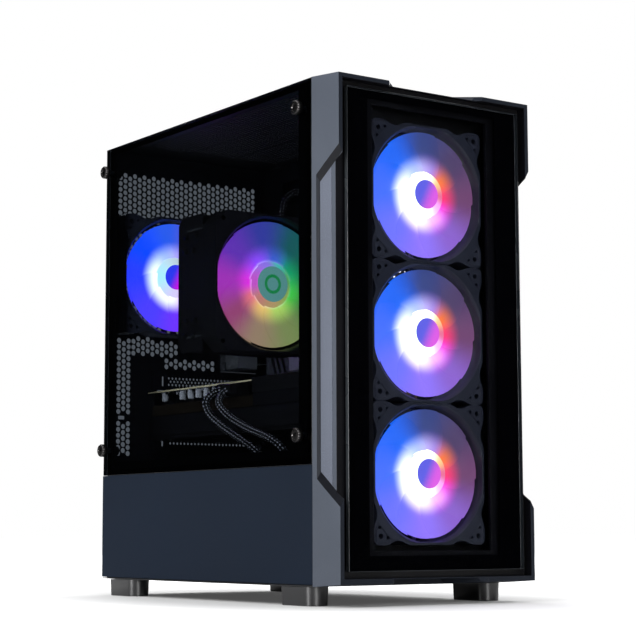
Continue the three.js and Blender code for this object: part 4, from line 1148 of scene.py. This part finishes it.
def rear_ports():
    """Shield with the metal shells of the rear connectors."""
    s = Shape()
    groups = [("usb", (46, 61), (235, 247)), ("net", (44, 58), (257, 271)), ("usb", (46, 61), (281, 293)),
              ("video", (54, 60), (303, 319)), ("usb", (46, 61), (329, 341))]
    holes = [rectangle(x, z) for _, x, z in groups] + [ring((52, z), 3.1, 24) for z in (352, 362, 372)]
    s.plate("y", rectangle((31.3, 74.9), (226.3, 384.7)), holes, (399.0, 399.9), 0)
    for kind, x, z in groups:
        wide = (x[0] - 8.5, z[0] - 6.5) if z[0] == 235 else (x[0] - 1, z[0] - 1)
        outer = rectangle((wide[0], x[1] + 1), (wide[1], z[1] + 1))
        s.plate("y", outer, [rectangle(x, z)], (377, 398.9), 1)
        s.box((wide[0], x[1] + 1), (376, 377.5), (wide[1], z[1] + 1), 1)
        if kind == "usb":
            for dz in (3.4, 8.8):
                s.box((x[0] + 1.5, x[1] - 1.5), (388, 398.4), (z[0] + dz - 0.9, z[0] + dz + 0.9), 3)
            s.box(x, (387, 398.8), ((z[0] + z[1]) / 2 - 0.5, (z[0] + z[1]) / 2 + 0.5), 1)
        elif kind == "net":
            s.box((x[0] + 2, x[1] - 2), (387, 397), (z[0] + 1, z[0] + 3), 2)
        else:
            s.box((x[0] + 2.2, x[1] - 2.2), (388, 398), (z[0] + 2, z[1] - 2), 2)
        s.box((x[0] - 1, 74.7), (377, 398.5), (z[0] - 1, z[0] - 0.4), 1)
    for ink, z in ((4, 352), (5, 362), (2, 372)):
        s.plate("y", ring((52, z), 3.0, 24), [ring((52, z), 1.8, 20)], (386, 400.2), ink)
        s.box((46, 58), (384, 386.2), (z - 4, z + 4), 2)
    s.piece("rear_connectors", [BARE, SHELL, CHIP, BLUE, TEAL, PALE], "io_ports", bevel=0.1)


# ---------------------------------------------------------------- power supply and roof controls


SUPPLY_FAN = (6, 328)


def supply_case():
    """Sheet metal case with a vent field in its rear, a wire grille under its fan, and parts inside."""
    s = Shape()
    x, y, z = (-68, 81), (258, 398.2), (20, 106)
    inlet_area, inlet, switch = ((-61, -1), (60, 98)), ((-56, -26), (66, 92)), ((-19, -5), (68, 90))
    inside_x, inside_y = (x[0] + 1, x[1] - 1), (y[0], y[1] - 1)
    holes = []
    for u, v in honeycomb((x[0] + 6, x[1] - 6), (z[0] + 7, z[1] - 7), 5.2, 6.0):
        if not (inlet_area[0][0] < u < inlet_area[0][1] and inlet_area[1][0] < v < inlet_area[1][1]):
            holes.append(ring((u, v), 2.35, 6))
    holes += [rectangle(*inlet), rectangle(*switch)]
    s.plate("y", rectangle(x, z), holes, (y[1] - 1, y[1]))
    s.box((x[0], x[0] + 1), inside_y, z)
    s.box((x[1] - 1, x[1]), inside_y, z)
    s.box(inside_x, inside_y, (z[1] - 1, z[1]))
    s.box(inside_x, (y[0], y[0] + 1), (z[0], z[1] - 1))
    s.plate("z", rectangle(inside_x, (y[0] + 1, y[1] - 1)), [ring(SUPPLY_FAN, 58, 64)], (z[0], z[0] + 1))
    for r in (14, 24, 34, 44, 54):
        outer, inner = ring(SUPPLY_FAN, r + 0.8, 48), ring(SUPPLY_FAN, r - 0.8, 48)
        s.plate("z", outer, [inner], (z[0] + 0.1, z[0] + 1.2), 1)
    across = [(12, -0.8), (59, -0.8), (59, 0.8), (12, 0.8)]
    for k in range(4):
        arm = shifted(turned_by(across, math.pi / 4 + k * math.pi / 2), SUPPLY_FAN)
        s.prism("z", arm, (z[0] + 0.2, z[0] + 1.1), 1)
    s.box((-50, 60), (262, 392), (64, 66), 2)
    rng = random.Random(5)
    for _ in range(14):
        at = rng.uniform(-46, 46), rng.uniform(266, 380)
        s.turned("z", at, [(66, rng.choice([6, 8])), (66 + rng.uniform(14, 30), 6)], 2, 20)
    s.piece("supply_case", [CASE_BLACK, BARE, CHIP], "psu_case", bevel=0.25)


def mains_inlet():
    s = Shape()
    outline = [(-55.7, 66.3), (-26.3, 66.3), (-26.3, 87), (-30.5, 91.7), (-51.5, 91.7), (-55.7, 87)]
    cavity = [(-53, 70), (-29, 70), (-29, 84.4), (-32.4, 88), (-49.6, 88), (-53, 84.4)]
    s.plate("y", outline, [cavity], (378, 398.2))
    s.prism("y", outline, (377.2, 378.2))
    for x, z in ((-47, 77), (-35, 77), (-41, 83)):
        s.box((x - 0.9, x + 0.9), (378, 394), (z - 2.2, z + 2.2), 1)
    s.piece("mains_inlet", [PLASTIC, BARE], "psu_inlet", bevel=0.2)


def supply_fan():
    hub = [(37.5, 0), (37.5, 19), (36, 20), (25, 20), (22.8, 18), (22.5, 14), (22.5, 0)]
    s = Shape().turned("z", SUPPLY_FAN, hub, 1, 40)
    blades(s, SUPPLY_FAN, 20, 56, 7, 23.6, 36.6, 0.45, (0.8, 0.88), 0, 1.2, "z")
    s.piece("supply_fan_blades", [PLASTIC, GLOSS], "psu_fan", centre=(*SUPPLY_FAN, 30), smooth=40)


def roof_controls():
    """Sockets and buttons in the roof behind the front panel."""
    s = Shape()
    x, y, sockets = (-45.7, 45.7), (46.3, 63.7), (-3, 16)
    holes = [rounded((u - 6.6, u + 6.6), (52.2, 57.8), 0.6) for u in sockets]
    holes += [ring((33, 55), 1.9, 20), ring((-34, 55), 5.75, 36), ring((-20, 55), 3.15, 28)]
    s.plate("z", rounded(x, y, 3), holes, (441.5, 444.6))
    s.box((x[0] + 1, x[1] - 1), (y[0] + 1, y[1] - 1), (424, 430))
    walls = rounded((x[0] + 0.6, x[1] - 0.6), (y[0] + 0.6, y[1] - 0.6), 2.6)
    s.plate("z", walls, [rounded((x[0] + 2, x[1] - 2), (y[0] + 2, y[1] - 2), 2)], (430, 441.6))
    for u in sockets:
        mouth = rectangle((u - 6.6, u + 6.6), (52.2, 57.8))
        s.plate("z", rectangle((u - 7.2, u + 7.2), (51.6, 58.4)), [mouth], (431, 444.2), 1)
        s.box((u - 5.6, u + 5.6), (53.0, 54.9), (431, 443.2), 2)
    s.plate("z", ring((33, 55), 2.9, 28), [ring((33, 55), 1.85, 24)], (436, 444.9), 1)
    s.piece("roof_socket_strip", [GLOSS, BARE, BLUE], "io_module", bevel=0.25)

    for name, node, u, radius, top in (("power_key", "power_button", -34, 5.4, 445.6),
                                       ("reset_key", "reset_button", -20, 2.8, 445.2)):
        s = Shape()
        s.turned("z", (u, 55), [(437, 0), (437, radius), (top - 0.7, radius), (top, radius - 0.7),
                                (top, radius - 1.4), (top - 0.35, radius - 1.9), (top - 0.35, 0)], 0, 40)
        s.piece(name, [PLASTIC], node, smooth=35)


def internal_cables():
    end = 258 - 0.3
    card_x = -57.3
    routes = {
        "gpu_cable_1": ([(card_x, 244, 193.8), (card_x - 5, 244, 193.8), (-69, 252, 190), (-75.5, 254, 181),
                         (-74, 247, 168.5), (-69, 226, 154.5), (-65, 204, 143.5), (-60, 188, 132),
                         (-55, 186, 120), (-52, 200, 111), (-49, 226, 96),
                         (-48, end - 8, 88), (-48, end, 88)], 3.4),
        "gpu_cable_2": ([(card_x, 233, 192.8), (card_x - 5, 233, 192.8), (-69, 237, 187.5), (-75.5, 230, 178),
                         (-73, 215, 165.5), (-68, 192, 154.5), (-63, 166, 145), (-58, 151, 134),
                         (-52, 151, 122), (-46, 168, 113), (-42, 200, 109), (-38, 230, 98),
                         (-36, end - 8, 92), (-36, end, 92)], 3.4),
        "atx_cable": ([(66, 157.7, 316), (66, 152, 316), (66, 144, 309), (67, 140, 290), (68, 139, 240),
                       (69, 139, 180), (68.5, 140, 136), (67, 150, 118), (63, 182, 115), (52, 218, 108),
                       (44, end - 9, 88), (44, end, 88)], 7.0),
        "eps_cable": ([(69, 340, 384.3), (69, 340, 391), (72, 338, 403), (82, 334, 411), (91.5, 328, 404),
                       (92.5, 316, 380), (92.5, 290, 300), (92.5, 252, 180), (92.5, 228, 100), (90, 222, 74),
                       (80, 220, 64), (66, 226, 60), (56, end - 8, 58), (56, end, 58)], 3.6),
    }
    for node, (route, radius) in routes.items():
        Shape().tube(route, radius, 20, 0, 8).piece(f"{node}_braid", [SLEEVE], node, smooth=60)
    s = Shape()
    s.box((-66, card_x - 0.1), (238.5, 249.5), (189, 198.6))
    s.box((-66, card_x - 0.1), (227.5, 238.2), (188, 197.6))
    s.piece("card_power_plugs", [PLASTIC], body="chassis", bevel=0.6, slot="black_plastic")


# ---------------------------------------------------------------- studio


def floor_material():
    """Pale sweep with painted light: a glow only the camera sees, faint near the case where it lifts the
    shadow under it, rising to plain white further off.
    """
    p = Paint("studio_floor", Roughness=0.9)
    p.feed("Base Color", p.mix(p.noise(2), (0.59, 0.59, 0.59), (0.61, 0.61, 0.61)))
    p.shader.inputs["Specular IOR Level"].default_value = 0.0
    p.shader.inputs["Emission Color"].default_value = (1, 1, 1, 1)
    # Painted light: the glow grows with distance from the case's footprint.
    footprint = p.node("ShaderNodeVectorMath", {0: p.coords.outputs["Object"]}, operation="MULTIPLY")
    footprint.inputs[1].default_value = (8.0, 4.6, 0.0)
    distance = p.node("ShaderNodeVectorMath", {0: footprint.outputs[0]}, operation="LENGTH").outputs["Value"]
    seen = p.node("ShaderNodeLightPath").outputs["Is Camera Ray"]
    p.feed("Emission Strength", p.math("MULTIPLY", p.span(distance, 1.0, 2.8, 0.07, 1.0, True), seen))
    return p.material


def area_light(name, at, target, size, energy, glossy=True, diffuse=True):
    data = bpy.data.lights.new(name, "AREA")
    data.shape = "RECTANGLE"
    data.size, data.size_y = size
    data.energy = energy
    obj = bpy.data.objects.new(name, data)
    bpy.context.scene.collection.objects.link(obj)
    obj.location = at
    obj.rotation_euler = (Vector(target) - Vector(at)).to_track_quat("-Z", "Y").to_euler()
    obj.visible_camera = False
    obj.visible_glossy = glossy
    obj.visible_diffuse = diffuse
    return obj


def studio():
    bpy.ops.mesh.primitive_plane_add(size=30, location=(0, 0, 0))
    floor = bpy.context.object
    floor.name = "studio_floor"
    floor.data.materials.append(floor_material())
    scene = bpy.context.scene
    world = bpy.data.worlds.new("studio")
    scene.world = world
    world.use_nodes = True
    tree = world.node_tree
    background = tree.nodes["Background"]
    background.inputs["Color"].default_value = (0.04, 0.04, 0.043, 1)
    white = tree.nodes.new("ShaderNodeBackground")
    white.inputs["Color"].default_value = (1, 1, 1, 1)
    path = tree.nodes.new("ShaderNodeLightPath")
    blend = tree.nodes.new("ShaderNodeMixShader")
    tree.links.new(path.outputs["Is Camera Ray"], blend.inputs[0])
    tree.links.new(background.outputs[0], blend.inputs[1])
    tree.links.new(white.outputs[0], blend.inputs[2])
    tree.links.new(blend.outputs[0], tree.nodes["World Output"].inputs["Surface"])
    scene.view_settings.view_transform = "Standard"
    middle = (0, 0, 0.25)
    area_light("left_fill", (-2.2, -0.2, 1.9), middle, (2.6, 1.6), 62, glossy=False)
    area_light("left_strip", (-2.5, 0.15, 0.3), (0, 0, 0.2), (0.9, 1.0), 65, diffuse=False)
    area_light("front_strip", (-0.75, -2.5, 0.3), (0, 0, 0.2), (0.6, 0.9), 45, diffuse=False)
    area_light("top_softbox", (0.2, 0.2, 2.6), (0, 0, 0), (3.2, 3.2), 70)
    area_light("front_fill", (-0.6, -3.0, 1.2), middle, (1.2, 0.8), 28, glossy=False)
    area_light("right_softbox", (2.6, 0.6, 1.2), middle, (1.4, 1.4), 50)
    area_light("rear_softbox", (0.9, 2.8, 1.3), middle, (1.4, 1.0), 50)
    inside, rear = place((0, 215, 270)), place((0, 300, 290))
    area_light("glow_through_glass", place((-95, 215, 270)), inside, (0.3, 0.28), 1.1, glossy=False)
    area_light("glow_of_front_fans", place((0, 46, 290)), rear, (0.12, 0.25), 0.6, glossy=False)


def camera():
    """Camera a little above the floor, looking slightly up at the front and the glass side."""
    scene = bpy.context.scene
    data = bpy.data.cameras.new("camera")
    data.sensor_width = 36.0
    data.lens = 1798.68 / 636 * 36.0
    data.clip_end = 60
    obj = bpy.data.objects.new("camera", data)
    scene.collection.objects.link(obj)
    az, el, roll, distance = math.radians(-35.20), math.radians(-6.76), math.radians(-0.15), 1455.5
    back = Vector((math.sin(az) * math.cos(el), -math.cos(az) * math.cos(el), math.sin(el)))
    right = Vector((math.cos(az), math.sin(az), 0))
    up = back.cross(right)
    side = math.cos(roll) * right + math.sin(roll) * up
    top = -math.sin(roll) * right + math.cos(roll) * up
    eye = place(Vector((-125.84, 0, 232.8)) + back * distance)
    turn = Matrix((side, top, back)).transposed().to_4x4()
    obj.matrix_world = Matrix.Translation(eye) @ turn
    scene.camera = obj


camera()
studio()
case()
slot_strips()
fans()
cooler()
card_board()
card_cooler()
card_fans()
card_bracket()
main_board()
memory()
board_heatsinks()
rear_ports()
supply_case()
mains_inlet()
refined("psu_switch", [GLOSS], 0.4)
supply_fan()
roof_controls()
internal_cables()
